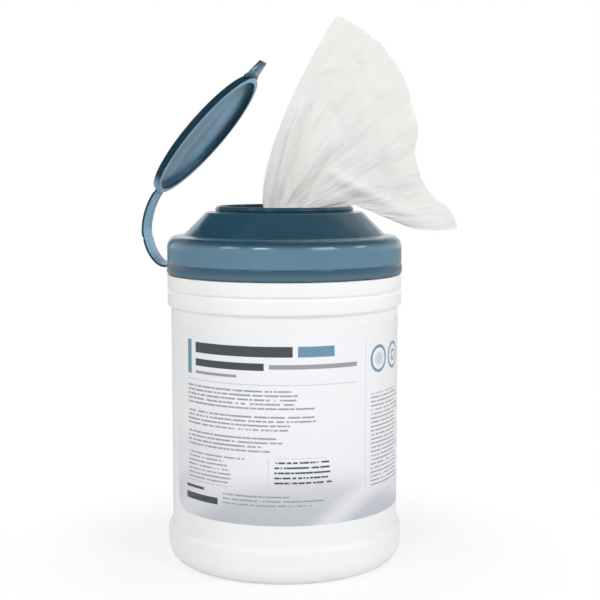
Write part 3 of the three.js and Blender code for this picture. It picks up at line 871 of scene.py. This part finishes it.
def label_mesh():
    """The film as a sheet bent round the tub, with its flat place in UV_UNIT mm as its UV map."""
    low, high = LABEL_BOX[0].z, LABEL_BOX[1].z
    radius = TUB_RADIUS + LABEL_GAP
    bm = bmesh.new()
    uv = bm.loops.layers.uv.new("film_mm")
    bmesh.ops.create_grid(bm, x_segments=LABEL_COLUMNS, y_segments=LABEL_ROWS, size=0.5)
    flat = {}
    length = radius * LABEL_WRAP
    for vert in bm.verts:
        up = (vert.co.y + 0.5) * (high - low)
        near = min(up, high - low - up)
        inset = max(0.0, LABEL_CORNER - near)
        cut = LABEL_CORNER - math.sqrt(max(0.0, LABEL_CORNER**2 - inset**2))
        across = cut + (vert.co.x + 0.5) * (length - 2 * cut)
        flat[vert.index] = (across, up)
        angle = LABEL_START + across / radius
        vert.co = (radius * math.cos(angle), radius * math.sin(angle), low + up)
    for face in bm.faces:
        for loop in face.loops:
            across, up = flat[loop.vert.index]
            loop[uv].uv = (across / MM / UV_UNIT, up / MM / UV_UNIT)
    bmesh.ops.recalc_face_normals(bm, faces=bm.faces)
    return bm


def roll_profile():
    """Section of the roll, with a ridge on top for each group of turns."""
    outer, low, high = ROLL_BOX[1].x, ROLL_BOX[0].z, ROLL_BOX[1].z
    width = (outer - ROLL_CORE) / ROLL_TURNS
    ridges = []
    for turn in range(ROLL_TURNS):
        edge = outer - turn * width
        ridges.append((edge, high - ROLL_RIDGE))
        ridges.append((edge - width * 0.5, high - ROLL_UNEVEN * (turn % 3)))
    start = [(ROLL_CORE, low), (outer - ROLL_EDGE, low), (outer, low + ROLL_EDGE)]
    return [*start, *ridges, (ROLL_CORE, high - ROLL_RIDGE), (ROLL_CORE, low)]


def cap_profile():
    """Radius and height points round the cap's wall, closed through the orifice's centre."""
    upper = SKIRT_RADIUS - BAND_STEP
    band_top = SKIRT_BOTTOM + BAND_HEIGHT
    inner = upper - CAP_WALL
    arc = (SHOULDER_INSET, SHOULDER_RISE)
    lining = (SHOULDER_INSET - CAP_WALL / 2, SHOULDER_RISE - CAP_WALL / 2)
    lining_centre = (inner - lining[0], SHOULDER_TOP - CAP_WALL - lining[1])
    well = COLLAR_RADIUS - COLLAR_WALL
    outer = [
        (SKIRT_RADIUS - CAP_WALL, SKIRT_BOTTOM),
        (SKIRT_RADIUS, SKIRT_BOTTOM),
        (SKIRT_RADIUS, band_top - BAND_STEP),
        *[(upper - inward * MM, band_top + rise * MM) for inward, rise in BAND_GROOVE],
        *quarter((upper - arc[0], SHOULDER_TOP - arc[1]), arc, 0, 90),
        (CONE_FOOT_RADIUS, SHOULDER_TOP + SHOULDER_CROWN),
        (LEDGE_RADIUS, LEDGE_TOP - LEDGE_EDGE[1]),
        (LEDGE_RADIUS - LEDGE_EDGE[0], LEDGE_TOP),
        (COLLAR_RADIUS + GROOVE_WIDTH, LEDGE_TOP),
        (COLLAR_RADIUS + GROOVE_WIDTH * GROOVE_SLOPE, LEDGE_TOP - GROOVE_DEPTH),
        (COLLAR_RADIUS, LEDGE_TOP - GROOVE_DEPTH * GROOVE_SLOPE),
        *[(COLLAR_RADIUS + outward * MM, LEDGE_TOP + rise * MM) for outward, rise in COLLAR_BEAD],
        *[(COLLAR_RADIUS - inward * MM, COLLAR_TOP - drop * MM) for inward, drop in COLLAR_LIP],
        (well + COLLAR_INNER_EDGE[0], COLLAR_TOP),
    ]
    inside = [
        (well, COLLAR_TOP - COLLAR_INNER_EDGE[1]),
        (well, WELL_FLOOR + CAP_WALL),
        (well - CAP_WALL, WELL_FLOOR),
        (NOZZLE_RADIUS, WELL_FLOOR),
        (ORIFICE_RADIUS, NOZZLE_TOP),
        (0, NOZZLE_TOP),
        (0, NOZZLE_TOP - CAP_WALL),
        (ORIFICE_RADIUS, NOZZLE_TOP - CAP_WALL),
        (NOZZLE_RADIUS, WELL_FLOOR - CAP_WALL),
        (well + COLLAR_WALL, WELL_FLOOR - CAP_WALL),
        (well + COLLAR_WALL, LEDGE_TOP - CAP_WALL),
        (LEDGE_RADIUS - CAP_WALL / 2, LEDGE_TOP - CAP_WALL),
        (CONE_FOOT_RADIUS - CONE_WALL / 2, SHOULDER_TOP + SHOULDER_CROWN - CONE_WALL),
        *quarter(lining_centre, lining, 90, 0),
        (SKIRT_RADIUS - CAP_WALL, SKIRT_BOTTOM),
    ]
    top = rounded(outer, CAP_ROUNDING, steps=3)
    return [*top[:-1], *rounded([top[-1], *inside], WELL_ROUNDING, steps=2)]


def slit_outline():
    """The star round the orifice that leaves its fingers free."""
    points = []
    half = SLIT_WIDTH / 2
    for slit in range(SLIT_COUNT):
        turn = Matrix.Rotation(2 * math.pi * slit / SLIT_COUNT, 2)
        arm = ((ORIFICE_RADIUS, -half), (SLIT_REACH, -half), (SLIT_REACH + half, 0.0))
        arm += ((SLIT_REACH, half), (ORIFICE_RADIUS, half))
        points += [turn @ Vector(corner) for corner in arm]
        between = Matrix.Rotation(2 * math.pi * (slit + 0.5) / SLIT_COUNT, 2)
        points.append(between @ Vector((ORIFICE_RADIUS, 0.0)))
    return points


def hinge_point(name):
    """A hinge's place in the strap's plane: distance out from the axis, and height."""
    x, _, z = PIVOTS[name]
    return Vector((-x, z))


def span_points(start, end, bulge, steps):
    """Points of one bowed span of the strap between two hinges."""
    chord = end - start
    direction = chord.normalized()
    outward = Vector((direction.y, -direction.x))
    controls = [
        start,
        start + chord * BOW_PLACES[0] + outward * bulge[0],
        start + chord * BOW_PLACES[1] + outward * bulge[1],
        end,
    ]
    points = []
    for step in range(steps + 1):
        t = step / steps
        line = controls
        while len(line) > 1:
            line = [a.lerp(b, t) for a, b in zip(line, line[1:])]
        points.append(line[0])
    return points


def strap_path():
    """The strap's middle line from inside the skirt to inside the lid's rim, and its hinges."""
    foot, crease, lid = (
        hinge_point(name) for name in ("strap_foot_hinge", "strap_crease_hinge", "lid_hinge")
    )
    root = Vector((SKIRT_RADIUS - CAP_WALL * STRAP_ROOT_SHARE, foot.y))
    inward = Vector((-math.cos(LID_TILT), math.sin(LID_TILT)))
    lower = span_points(foot, crease, LOWER_BULGE, LOWER_STEPS)
    upper = span_points(crease, lid, UPPER_BULGE, UPPER_STEPS)
    end = lid + inward * (LUG_LENGTH + LID_RIM_WIDTH * 0.5)
    return [root, *lower, *upper[1:], end], (foot, crease, lid)


def strap_part(name, material, first, last):
    """A stretch of the strap between two shares of its length, as one bent and bevelled strip."""
    path, hinges = strap_path()
    steps = [0.0]
    for a, b in zip(path, path[1:]):
        steps.append(steps[-1] + (b - a).length)
    reach = np.array(steps)
    xs = np.array([p.x for p in path])
    zs = np.array([p.y for p in path])
    total = reach[-1]
    bm = bmesh.new()
    bmesh.ops.create_cube(bm, size=1.0)
    long_edges = [e for e in bm.edges if abs(e.verts[0].co.x - e.verts[1].co.x) > 0.5]
    bmesh.ops.scale(bm, verts=bm.verts, vec=(total, STRAP_WIDTH, STRAP_THICKNESS))
    bmesh.ops.bevel(
        bm,
        geom=long_edges,
        offset=STRAP_EDGE,
        segments=3,
        profile=0.5,
        affect="EDGES",
        material=-1,
    )
    cuts = [e for e in bm.edges if abs(e.verts[0].co.x - e.verts[1].co.x) > total / 2]
    bmesh.ops.subdivide_edges(bm, edges=cuts, cuts=STRAP_CUTS, use_grid_fill=True)
    # Faces are turned outwards while the strip is straight, because its tight bend misleads the test
    bmesh.ops.recalc_face_normals(bm, faces=bm.faces)
    painted_light_layer = bm.verts.layers.float.new("thinness_and_painted_light")
    for vert in bm.verts:
        # Painted light on the strap's inner face, painted shade on its outer face
        inner = vert.co.z < -STRAP_THICKNESS * STRAP_INNER_FACE
        vert[painted_light_layer] = 1.0 if inner else DARK_FACE
        share = first + (last - first) * (vert.co.x / total + 0.5)
        along = share * total
        spot = Vector((np.interp(along, reach, xs), np.interp(along, reach, zs)))
        ahead = min(total, along + TANGENT_STEP)
        behind = max(0.0, along - TANGENT_STEP)
        tangent = Vector((
            np.interp(ahead, reach, xs) - np.interp(behind, reach, xs),
            np.interp(ahead, reach, zs) - np.interp(behind, reach, zs),
        )).normalized()
        nearest = min((spot - hinge).length for hinge in hinges)
        thinness_and_painted_light = 1.0 - (1.0 - CREASE_THICKNESS / STRAP_THICKNESS) * max(0.0, 1 - nearest / CREASE_REACH)
        out = Vector((tangent.y, -tangent.x)) * vert.co.z * thinness_and_painted_light
        vert.co = (-(spot.x + out.x), vert.co.y, spot.y + out.y)
    return make_object(name, bm, material)


def lid_place():
    """The matrix that puts the closed, flat lid where it stands open."""
    x, y, z = PIVOTS["lid_hinge"]
    closed = Matrix.Translation((LID_RADIUS + LUG_LENGTH, 0, -LID_HINGE_HEIGHT))
    return Matrix.Translation((x, y, z)) @ Matrix.Rotation(-LID_TILT, 4, "Y") @ closed


def lid_profile():
    """Section of the lid, flat, with its rim's edge at height 0."""
    recess = LID_RADIUS - LID_RIM_WIDTH
    top = LID_SIDE + LID_THICKNESS
    return rounded(
        [
            (recess, 0),
            (LID_RADIUS, 0),
            (LID_RADIUS, LID_SIDE + LID_EDGE_RISE),
            (recess - LID_EDGE_INSET, top),
            (recess * LID_SHOULDER[0], top + LID_SHOULDER[1]),
            (recess * LID_CROWN[0], top + LID_CROWN[1]),
            (0, top + LID_DOME),
        ],
        LID_ROUNDING,
    ) + rounded(
        [
            (0, top + LID_DOME - LID_THICKNESS),
            (recess * LID_CROWN[0], top + LID_CROWN[1] - LID_THICKNESS),
            (recess * LID_FLOOR[0], LID_FLOOR[1]),
            (recess, LID_FLOOR_CORNER),
            (recess, LID_RIM_LINE),
            (recess, 0),
        ],
        LID_FLOOR_ROUNDING,
    )


def paint_lid(shell):
    """Paints light and shade on the lid's plastic, from its rim's edge to its recess and its lug."""
    shell.normal_update()
    painted_light_layer = shell.verts.layers.float.new("thinness_and_painted_light")
    recess = LID_RADIUS - LID_RIM_WIDTH
    floor_low, floor_gain, floor_fade = FLOOR_LIGHT
    lug_light, lug_start, lug_fade = LUG_LIGHT
    for vert in shell.verts:
        share = math.hypot(vert.co.x, vert.co.y) / recess
        # Painted light on the rim's edge and on the lug towards the hinge; painted shade on the
        # recess's wall, darkest by the rim, on the floor by its corner, and on the outer face
        if vert.co.z < RIM_EDGE_HEIGHT:
            thinness_and_painted_light = RIM_LIGHT
        elif share > OUTER_REACH:
            thinness_and_painted_light = lug_light * min(1.0, max(0.0, (-vert.co.x / LID_RADIUS - lug_start) / lug_fade))
        elif share > FLOOR_REACH:
            thinness_and_painted_light = WALL_LIGHT * vert.co.z / LID_SIDE
        elif vert.normal.z < 0:
            thinness_and_painted_light = floor_low + floor_gain * min(1.0, (FLOOR_REACH - share) / floor_fade)
        else:
            thinness_and_painted_light = DARK_FACE
        vert[painted_light_layer] = thinness_and_painted_light


def tab_mesh():
    """The thumb tab, flared where it meets the rim, with painted light on its inner face."""
    root = LID_RADIUS - LID_RIM_WIDTH / 2
    tip = LID_RADIUS + TAB_LENGTH
    sloped = tip - (TAB_WIDTH - TAB_TIP_WIDTH)
    waist = root + (sloped - root) * TAB_WAIST
    corners = [(root + (waist - root) * share, TAB_WIDTH * half) for share, half in TAB_FLARE]
    corners += [(sloped, TAB_WIDTH * 0.5), (tip, TAB_TIP_WIDTH * 0.5)]
    corners += [(x, -y) for x, y in reversed(corners)]
    tab = slab(corners, TAB_THICKNESS, segments=3, edge=TAB_EDGE)
    painted_light_layer = tab.verts.layers.float.new("thinness_and_painted_light")
    for vert in tab.verts:
        vert[painted_light_layer] = 1.0 if vert.co.z < TAB_THICKNESS * TAB_INNER_FACE else 0.0
    bmesh.ops.translate(tab, verts=tab.verts, vec=(0, 0, LID_SIDE - TAB_THICKNESS))
    return tab


def smooth(t):
    """A soft step from 0 to 1."""
    t = np.clip(t, 0.0, 1.0)
    return t * t * (3 - 2 * t)


def edge_points(shares):
    """Points of the torn edge at shares of its length, side and height in mm."""
    line = np.array(TORN_EDGE)
    dense = []
    for i in range(len(line) - 1):
        p0, p1 = line[max(i - 1, 0)], line[i]
        p2, p3 = line[i + 1], line[min(i + 2, len(line) - 1)]
        for t in np.linspace(0, 1, 12, endpoint=False):
            dense.append(
                0.5 * (2 * p1 + (p2 - p0) * t + (2 * p0 - 5 * p1 + 4 * p2 - p3) * t**2
                       + (3 * p1 - p0 - 3 * p2 + p3) * t**3)
            )
    dense = np.array([*dense, line[-1]])
    reach = np.concatenate([[0], np.cumsum(np.linalg.norm(np.diff(dense, axis=0), axis=1))])
    at = shares * reach[-1]
    return np.interp(at, reach, dense[:, 0]), np.interp(at, reach, dense[:, 1])


# Creases of the fan: width and rise in mm, then side and height points over the collar's top
CREASES = (
    (1.9, 3.0, ((9.5, 52.0), (2.8, 36.0), (-2.0, 18.0), (-5.0, 0.0))),
    (1.7, -2.6, ((13.5, 50.0), (7.0, 30.0), (3.2, 16.0), (1.5, 0.0))),
    (2.0, 2.2, ((18.0, 34.0), (11.5, 18.0), (7.2, 0.0))),
    (2.2, -2.2, ((24.0, 26.0), (16.0, 12.0), (11.0, 0.0))),
    (3.2, 1.3, ((23.0, 18.0), (31.0, 12.5), (42.0, 7.0), (58.0, -1.0), (74.0, -9.0))),
    (4.0, -0.5, ((24.0, 8.0), (31.0, 6.5), (41.0, 2.0))),
    (1.6, -1.6, ((35.0, 77.0), (38.5, 72.0), (39.5, 62.0))),
    (4.5, 1.5, ((39.5, 72.0), (40.0, 56.0), (41.5, 38.0), (42.0, 24.0))),
    (2.2, 1.0, ((17.0, 67.0), (24.0, 71.5), (32.5, 73.0))),
    (2.0, 0.9, ((42.0, 64.0), (49.0, 59.0), (58.0, 57.0))),
    (3.0, -0.9, ((20.0, 58.0), (27.0, 44.0), (30.0, 30.0))),
    (5.0, 1.0, ((50.0, 50.0), (53.0, 30.0), (58.0, 14.0))),
)


def crease_rise(side, up):
    """How far the creases push each point of the fan towards the viewer, in mm."""
    rise = np.zeros_like(side)
    for width, height, line in CREASES:
        away = np.full_like(side, 1e9)
        fade = np.zeros_like(side)
        count = len(line) - 1
        for i, (a, b) in enumerate(zip(line, line[1:])):
            dx, dz = b[0] - a[0], b[1] - a[1]
            t = np.clip(((side - a[0]) * dx + (up - a[1]) * dz) / (dx * dx + dz * dz), 0, 1)
            distance = np.hypot(side - a[0] - t * dx, up - a[1] - t * dz)
            nearer = distance < away
            along = (i + t) / count
            fade = np.where(nearer, np.sin(np.pi * np.clip(along * 0.8 + 0.15, 0, 1)), fade)
            away = np.minimum(away, distance)
        rise += height * fade * np.exp(-((away / width) ** 2))
    return rise


def wipe_points(across, along):
    """Places of the wipe's points in metres, from shares across it and along it from its tail."""
    spread = (across - 0.5) * 2
    out = np.clip((along - TAIL_SHARE) / (1 - TAIL_SHARE), 0, 1)
    down = np.clip(1 - along / TAIL_SHARE, 0, 1)
    edge_side, edge_up = edge_points(across)
    start_up = (NOZZLE_TOP - COLLAR_TOP) / MM
    neck = NECK_BUNDLE / MM
    low_side = LEFT_PULL[0][0] + (RIGHT_PULL[0][0] - LEFT_PULL[0][0]) * across
    low_up = LEFT_PULL[0][1] + (RIGHT_PULL[0][1] - LEFT_PULL[0][1]) * across
    high_side = LEFT_PULL[1][0] + (RIGHT_PULL[1][0] - LEFT_PULL[1][0]) * across
    high_up = LEFT_PULL[1][1] + (RIGHT_PULL[1][1] - LEFT_PULL[1][1]) * across
    w = [(1 - out) ** 3, 3 * out * (1 - out) ** 2, 3 * out**2 * (1 - out), out**3]
    side = w[0] * neck * spread + w[1] * low_side + w[2] * high_side + w[3] * edge_side
    up = w[0] * start_up + w[1] * low_up + w[2] * high_up + w[3] * edge_up
    phase = 2 * np.pi * (PLEATS * across + PLEAT_WANDER * np.sin(2 * np.pi * across)) + PLEAT_START
    pleat = np.sin(phase) - PLEAT_SHARPNESS * np.sin(3 * phase)
    rim = smooth(out / RIM_SHARE)
    open_out = smooth((out - OPEN_SHARE) / (1 - OPEN_SHARE))
    depth = neck * NECK_DEPTH * (1 - rim)
    depth = depth + PLEAT_DEPTH * rim * (1 - open_out) ** 2 + OPEN_DEPTH * open_out
    depth = depth * (1 - PLEAT_FADE * across * rim)
    toward = pleat * depth
    toward = toward + crease_rise(side, up) * rim
    toward = toward - FAN_LEAN[0] * out * (across - FAN_LEAN[1])
    scale_a, scale_b, slice_c = CRINKLE_SCALE
    crinkle = np.array([
        noise.fractal(Vector((a * scale_a, b * scale_b, slice_c)), 0.9, 2.1, 4)
        for a, b in zip(across, along)
    ])
    toward = toward + crinkle * CRINKLE_TOWARD * rim
    side = side + crinkle * CRINKLE_SIDE * rim
    seat = SEAT_HEIGHT - SEAT_SLOPES[0] * np.maximum(0, SEAT_EDGES[0] - side)
    seat = seat - SEAT_SLOPES[1] * np.maximum(0, side - SEAT_EDGES[1])
    over = seat - up
    lift = np.where(side > SEAT_START, 0.5 * (over + np.sqrt(over**2 + SEAT_SOFTNESS)), 0.0)
    up = up + lift * smooth((side - SEAT_START) / SEAT_RAMP)
    bundle = neck + (TAIL_BUNDLE / MM - neck) * smooth(down * TAIL_SPREAD)
    twist = down * TAIL_TWIST
    tail_side = bundle * spread * TAIL_WIDTH_SHARE
    tail_toward = bundle * TAIL_DEPTH_SHARE * pleat
    in_tail = down > 0
    turned_side = tail_side * np.cos(twist) - tail_toward * np.sin(twist)
    turned_toward = tail_side * np.sin(twist) + tail_toward * np.cos(twist)
    side = np.where(in_tail, turned_side, side)
    toward = np.where(in_tail, turned_toward, toward)
    up = np.where(in_tail, start_up - down * TAIL_DROP + crinkle * down * TAIL_CRINKLE, up)
    cos, sin = math.cos(FAN_TURN), math.sin(FAN_TURN)
    x = side * cos + toward * sin
    y = side * sin - toward * cos
    return np.stack([x * MM, y * MM, COLLAR_TOP + up * MM], axis=1)


def wipe_mesh():
    """The pulled wipe as a fine sheet with its flat place as its UV map and a ragged edge."""
    bm = bmesh.new()
    uv = bm.loops.layers.uv.new("cloth")
    bmesh.ops.create_grid(bm, x_segments=FAN_COLUMNS, y_segments=FAN_ROWS, size=0.5)
    bm.verts.ensure_lookup_table()
    flat = np.array([vert.co for vert in bm.verts]) + 0.5
    across, along = flat[:, 0], flat[:, 1]
    places = wipe_points(across, along)
    inner = wipe_points(across, np.clip(along - 0.01, 0, 1))
    outward = places - inner
    outward /= np.maximum(np.linalg.norm(outward, axis=1, keepdims=True), 1e-9)
    tufts = [noise.noise(Vector((a * TUFT_SCALE, 0.0, 7.1))) + TUFT_BIAS for a in across]
    ragged = np.array([
        noise.fractal(Vector((a * RAG_SCALE, 0.0, 1.3)), 0.7, 2.2, 5)
        * (RAG_LEAST + TUFT_GAIN * max(0.0, tuft))
        for a, tuft in zip(across, tufts)
    ])
    border = np.clip((along - RAGGED_SHARE) / (1 - RAGGED_SHARE), 0, 1) ** 2
    places = places + outward * (ragged * border * RAGGED_REACH)[:, None]
    for vert, place in zip(bm.verts, places):
        vert.co = place
    for face in bm.faces:
        for loop in face.loops:
            a, b = flat[loop.vert.index][:2]
            loop[uv].uv = (a * WIPE_FLAT[0], b * WIPE_FLAT[1])
    bmesh.ops.recalc_face_normals(bm, faces=bm.faces)
    return bm


class CanisterSizes(bpy.types.PropertyGroup):
    """Colours and sizes that a user would change."""

    cap_colour: bpy.props.FloatVectorProperty(
        name="Cap colour", description="Plastic of the cap, the strap and the lid",
        default=(0.016, 0.058, 0.090), subtype="COLOR", size=3, min=0, max=1)
    # Lit copy of the cap's plastic, painted as light shining through from the white neck
    painted_through_light_colour: bpy.props.FloatVectorProperty(
        name="Backed colour", description="The same plastic where the white neck stands behind it",
        default=(0.120, 0.235, 0.325), subtype="COLOR", size=3, min=0, max=1)
    # Painted light: the same plastic lit through, for the lid and the strap
    strap_painted_light_colour: bpy.props.FloatVectorProperty(
        name="Strap colour", description="The same plastic where light shines through it",
        default=(0.33, 0.64, 0.88), subtype="COLOR", size=3, min=0, max=1)
    tub_colour: bpy.props.FloatVectorProperty(
        name="Tub colour", description="Plastic of the tub",
        default=(0.87, 0.87, 0.87), subtype="COLOR", size=3, min=0, max=1)
    cloth_colour: bpy.props.FloatVectorProperty(
        name="Cloth colour", description="Moist wipes",
        default=(0.925, 0.897, 0.866), subtype="COLOR", size=3, min=0, max=1)
    cloth_thickness: bpy.props.FloatProperty(
        name="Cloth thickness", description="Thickness of the pulled wipe",
        default=0.3 * MM, unit="LENGTH", min=0)
    film_thickness: bpy.props.FloatProperty(
        name="Film thickness", description="Thickness of the printed film",
        default=0.12 * MM, unit="LENGTH", min=0)
    floor_side: bpy.props.FloatProperty(
        name="Floor side", description="Side of the floor", default=6.0, unit="LENGTH", min=1)


class CANISTER_OT_tub(bpy.types.Operator):
    """Makes the white tub"""

    bl_idname = "canister.tub"
    bl_label = "Tub"

    def execute(self, context):
        sizes = context.scene.canister_sizes
        white = moulded_material(
            "tub_plastic", sizes.tub_colour, shift=0.03, roughness=0.36, ripple=0.16,
            Subsurface_Weight=0.12, Subsurface_Scale=0.003)
        tub = make_object("tub_shell", turned(tub_profile()), white)
        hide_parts("container")
        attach(tub, "tub")
        return {"FINISHED"}


class CANISTER_OT_label(bpy.types.Operator):
    """Makes the printed film round the tub"""

    bl_idname = "canister.label"
    bl_label = "Label"

    def execute(self, context):
        film = make_object("label_film", label_mesh(), film_material())
        wall = film.modifiers.new("film", "SOLIDIFY")
        wall.thickness = context.scene.canister_sizes.film_thickness
        wall.offset = 1.0
        apply_modifiers(film)
        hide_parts("label")
        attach(film, "tub")
        return {"FINISHED"}


class CANISTER_OT_roll(bpy.types.Operator):
    """Makes the roll of wipes in the tub"""

    bl_idname = "canister.roll"
    bl_label = "Roll of wipes"

    def execute(self, context):
        sizes = context.scene.canister_sizes
        cloth = moulded_material(
            "roll_cloth", sizes.cloth_colour, shift=0.08, roughness=0.8, ripple=0.5,
            Subsurface_Weight=0.2, Subsurface_Scale=0.002)
        bm = turned(roll_profile(), ROLL_STEPS)
        for vert in bm.verts:
            if vert.co.z > ROLL_BOX[1].z - ROLL_SAG_DEPTH:
                vert.co.z -= ROLL_SAG * abs(noise.noise(vert.co * ROLL_SAG_SCALE))
        roll = make_object("wipe_roll_turns", bm, cloth)
        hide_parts("wipe_roll")
        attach(roll, "tub")
        return {"FINISHED"}


class CANISTER_OT_cap(bpy.types.Operator):
    """Makes the cap with its collar, well and slit orifice"""

    bl_idname = "canister.cap"
    bl_label = "Cap"

    def execute(self, context):
        cap = make_object("cap_shell", turned(cap_profile()), bpy.data.materials["cap_plastic_painted_light"])
        star = slab(slit_outline(), SLIT_CUT_DEPTH)
        bmesh.ops.translate(star, verts=star.verts, vec=(0, 0, WELL_FLOOR - SLIT_CUT_DEPTH / 2))
        cutter = make_object("orifice_cutter", star, bpy.data.materials["cap_plastic_painted_light"])
        boolean(cap, cutter, "DIFFERENCE")
        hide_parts("cap")
        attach(cap, "cap")
        return {"FINISHED"}


class CANISTER_OT_lid(bpy.types.Operator):
    """Makes the lid with its thumb tab, and the strap in three stretches, drawn bent and thinned at
    the hinges
    """

    bl_idname = "canister.lid"
    bl_label = "Lid and strap"

    def execute(self, context):
        plastic = bpy.data.materials["strap_plastic"]
        shell = turned(lid_profile())
        paint_lid(shell)
        lid = make_object("lid_shell", shell, plastic)
        boolean(lid, make_object("thumb_tab", tab_mesh(), plastic), "UNION")
        lid.data.transform(lid_place())
        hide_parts("lid")
        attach(lid, "lid")
        for name, first, last, below, above, hinge, way in STRETCHES:
            part = strap_part(name, plastic, first, last)
            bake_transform(part)
            if name == "strap_foot":
                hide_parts("strap_lower")
            if name == "strap_crease":
                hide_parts("strap_upper")
        return {"FINISHED"}


class CANISTER_OT_wipe(bpy.types.Operator):
    """Makes the wipe that stands half way out of the cap"""

    bl_idname = "canister.wipe"
    bl_label = "Pulled wipe"

    def execute(self, context):
        sizes = context.scene.canister_sizes
        cloth = cloth_material("wipe_cloth", sizes.cloth_colour, CLOTH_RELIEF)
        wipe = make_object("pulled_wipe", wipe_mesh(), cloth)
        sheet = wipe.modifiers.new("sheet", "SOLIDIFY")
        sheet.thickness = sizes.cloth_thickness
        sheet.offset = 0.0
        apply_modifiers(wipe)
        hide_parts("lead_wipe")
        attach(wipe, "cap")
        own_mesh(wipe)
        return {"FINISHED"}


class CANISTER_OT_stage(bpy.types.Operator):
    """Makes the floor, the lamps, the world and the camera"""

    bl_idname = "canister.stage"
    bl_label = "Stage"

    def execute(self, context):
        scene = context.scene
        scene.view_settings.view_transform = "Standard"
        self.floor(scene.canister_sizes.floor_side)
        self.world(scene)
        for name, place, side, watts in LAMPS:
            lamp = bpy.data.lights.new(name, "AREA")
            lamp.size = side
            lamp.energy = watts
            holder = bpy.data.objects.new(name, lamp)
            scene.collection.objects.link(holder)
            holder.location = place
            aim = LAMP_AIM - Vector(place)
            holder.rotation_euler = aim.to_track_quat("-Z", "Y").to_euler()
        eye = bpy.data.cameras.new("photo_camera")
        eye.lens = CAMERA_LENS
        eye.sensor_width = SENSOR_WIDTH
        eye.clip_start, eye.clip_end = CAMERA_CLIPS
        holder = bpy.data.objects.new("photo_camera", eye)
        scene.collection.objects.link(holder)
        holder.location = CAMERA_PLACE
        holder.rotation_euler = Vector(CAMERA_LOOK).to_track_quat("-Z", "Y").to_euler()
        scene.camera = holder
        return {"FINISHED"}

    def floor(self, side):
        bm = bmesh.new()
        bmesh.ops.create_grid(bm, x_segments=1, y_segments=1, size=side / 2)
        material, n, shader = new_material("pale_floor", Base_Color=FLOOR_COLOUR, Roughness=0.7)
        glow = n.add("ShaderNodeEmission")
        glow.inputs["Color"].default_value = WHITE
        reach = n.add("ShaderNodeVectorMath", operation="LENGTH")
        n.feed(reach.inputs[0], n.add("ShaderNodeTexCoord").outputs["Object"])
        far = n.ramp(reach.outputs["Value"], *FLOOR_GLOW)
        seen = n.add("ShaderNodeLightPath").outputs["Is Camera Ray"]
        blend = n.add("ShaderNodeMixShader")
        n.feed(blend.inputs["Fac"], n.math("MULTIPLY", seen, far))
        n.feed(blend.inputs[1], shader.outputs[0])
        n.feed(blend.inputs[2], glow.outputs[0])
        out = material.node_tree.nodes["Material Output"]
        n.feed(out.inputs["Surface"], blend.outputs[0])
        floor = make_object("floor", bm, material)

    def world(self, scene):
        world = bpy.data.worlds.new("soft_room")
        world.use_nodes = True
        scene.world = world
        n = Nodes(world.node_tree)
        seen = n.add("ShaderNodeLightPath").outputs
        shown = n.math("MAXIMUM", seen["Is Camera Ray"], seen["Is Transmission Ray"])
        split = n.add("ShaderNodeSeparateXYZ")
        n.feed(split.inputs[0], n.add("ShaderNodeTexCoord").outputs["Generated"])
        behind = n.add("ShaderNodeVectorMath", operation="DOT_PRODUCT")
        n.feed(behind.inputs[0], n.add("ShaderNodeTexCoord").outputs["Generated"])
        behind.inputs[1].default_value = (CAMERA_LOOK[0], CAMERA_LOOK[1], 0.0)
        walls = n.ramp(behind.outputs["Value"], *ROOM_WALLS)
        ceiling = n.ramp(split.outputs[2], *ROOM_CEILING)
        room = n.math("MULTIPLY", walls, ceiling)
        dimmed = n.math("MULTIPLY", room, n.math("SUBTRACT", 1.0, shown))
        level = n.math("ADD", dimmed, shown)
        back = world.node_tree.nodes["Background"]
        back.inputs["Color"].default_value = WHITE
        n.feed(back.inputs["Strength"], level)


class CANISTER_PT_panel(bpy.types.Panel):
    """Buttons for each piece of the canister"""

    bl_idname = "CANISTER_PT_panel"
    bl_label = "Wipes canister"
    bl_space_type = "VIEW_3D"
    bl_region_type = "UI"
    bl_category = "Canister"

    def draw(self, context):
        sizes = context.scene.canister_sizes
        for key in SHOWN_KEYS:
            self.layout.prop(sizes, key)
        for operator in OPERATORS:
            self.layout.operator(operator.bl_idname)


SHOWN_KEYS = (
    "cap_colour",
    "painted_through_light_colour",
    "strap_painted_light_colour",
    "tub_colour",
    "cloth_colour",
    "cloth_thickness",
    "film_thickness",
    "floor_side",
)
OPERATORS = (
    CANISTER_OT_stage,
    CANISTER_OT_tub,
    CANISTER_OT_label,
    CANISTER_OT_roll,
    CANISTER_OT_cap,
    CANISTER_OT_lid,
    CANISTER_OT_wipe,
)
CLASSES = (CanisterSizes, *OPERATORS, CANISTER_PT_panel)


def register():
    """Adds the classes and the scene's property group."""
    for cls in CLASSES:
        bpy.utils.register_class(cls)
    bpy.types.Scene.canister_sizes = bpy.props.PointerProperty(type=CanisterSizes)


def unregister():
    """Removes what register added."""
    del bpy.types.Scene.canister_sizes
    for cls in reversed(CLASSES):
        bpy.utils.unregister_class(cls)


def main():
    register()
    build_groups()
    sizes = bpy.context.scene.canister_sizes
    # The cap's plastic, with painted light where the white neck stands behind it
    cap_material("cap_plastic_painted_light", sizes.cap_colour, sizes.painted_through_light_colour)
    # The lid and strap's dark end is the cap's colour darkened as painted shade
    darker = [channel * STRAP_PAINTED_SHADE for channel in sizes.cap_colour]
    strap_material("strap_plastic", darker, sizes.strap_painted_light_colour)
    bpy.ops.canister.stage()
    bpy.ops.canister.tub()
    bpy.ops.canister.label()
    bpy.ops.canister.roll()
    bpy.ops.canister.cap()
    bpy.ops.canister.lid()
    bpy.ops.canister.wipe()


if __name__ == "__main__":
    main()
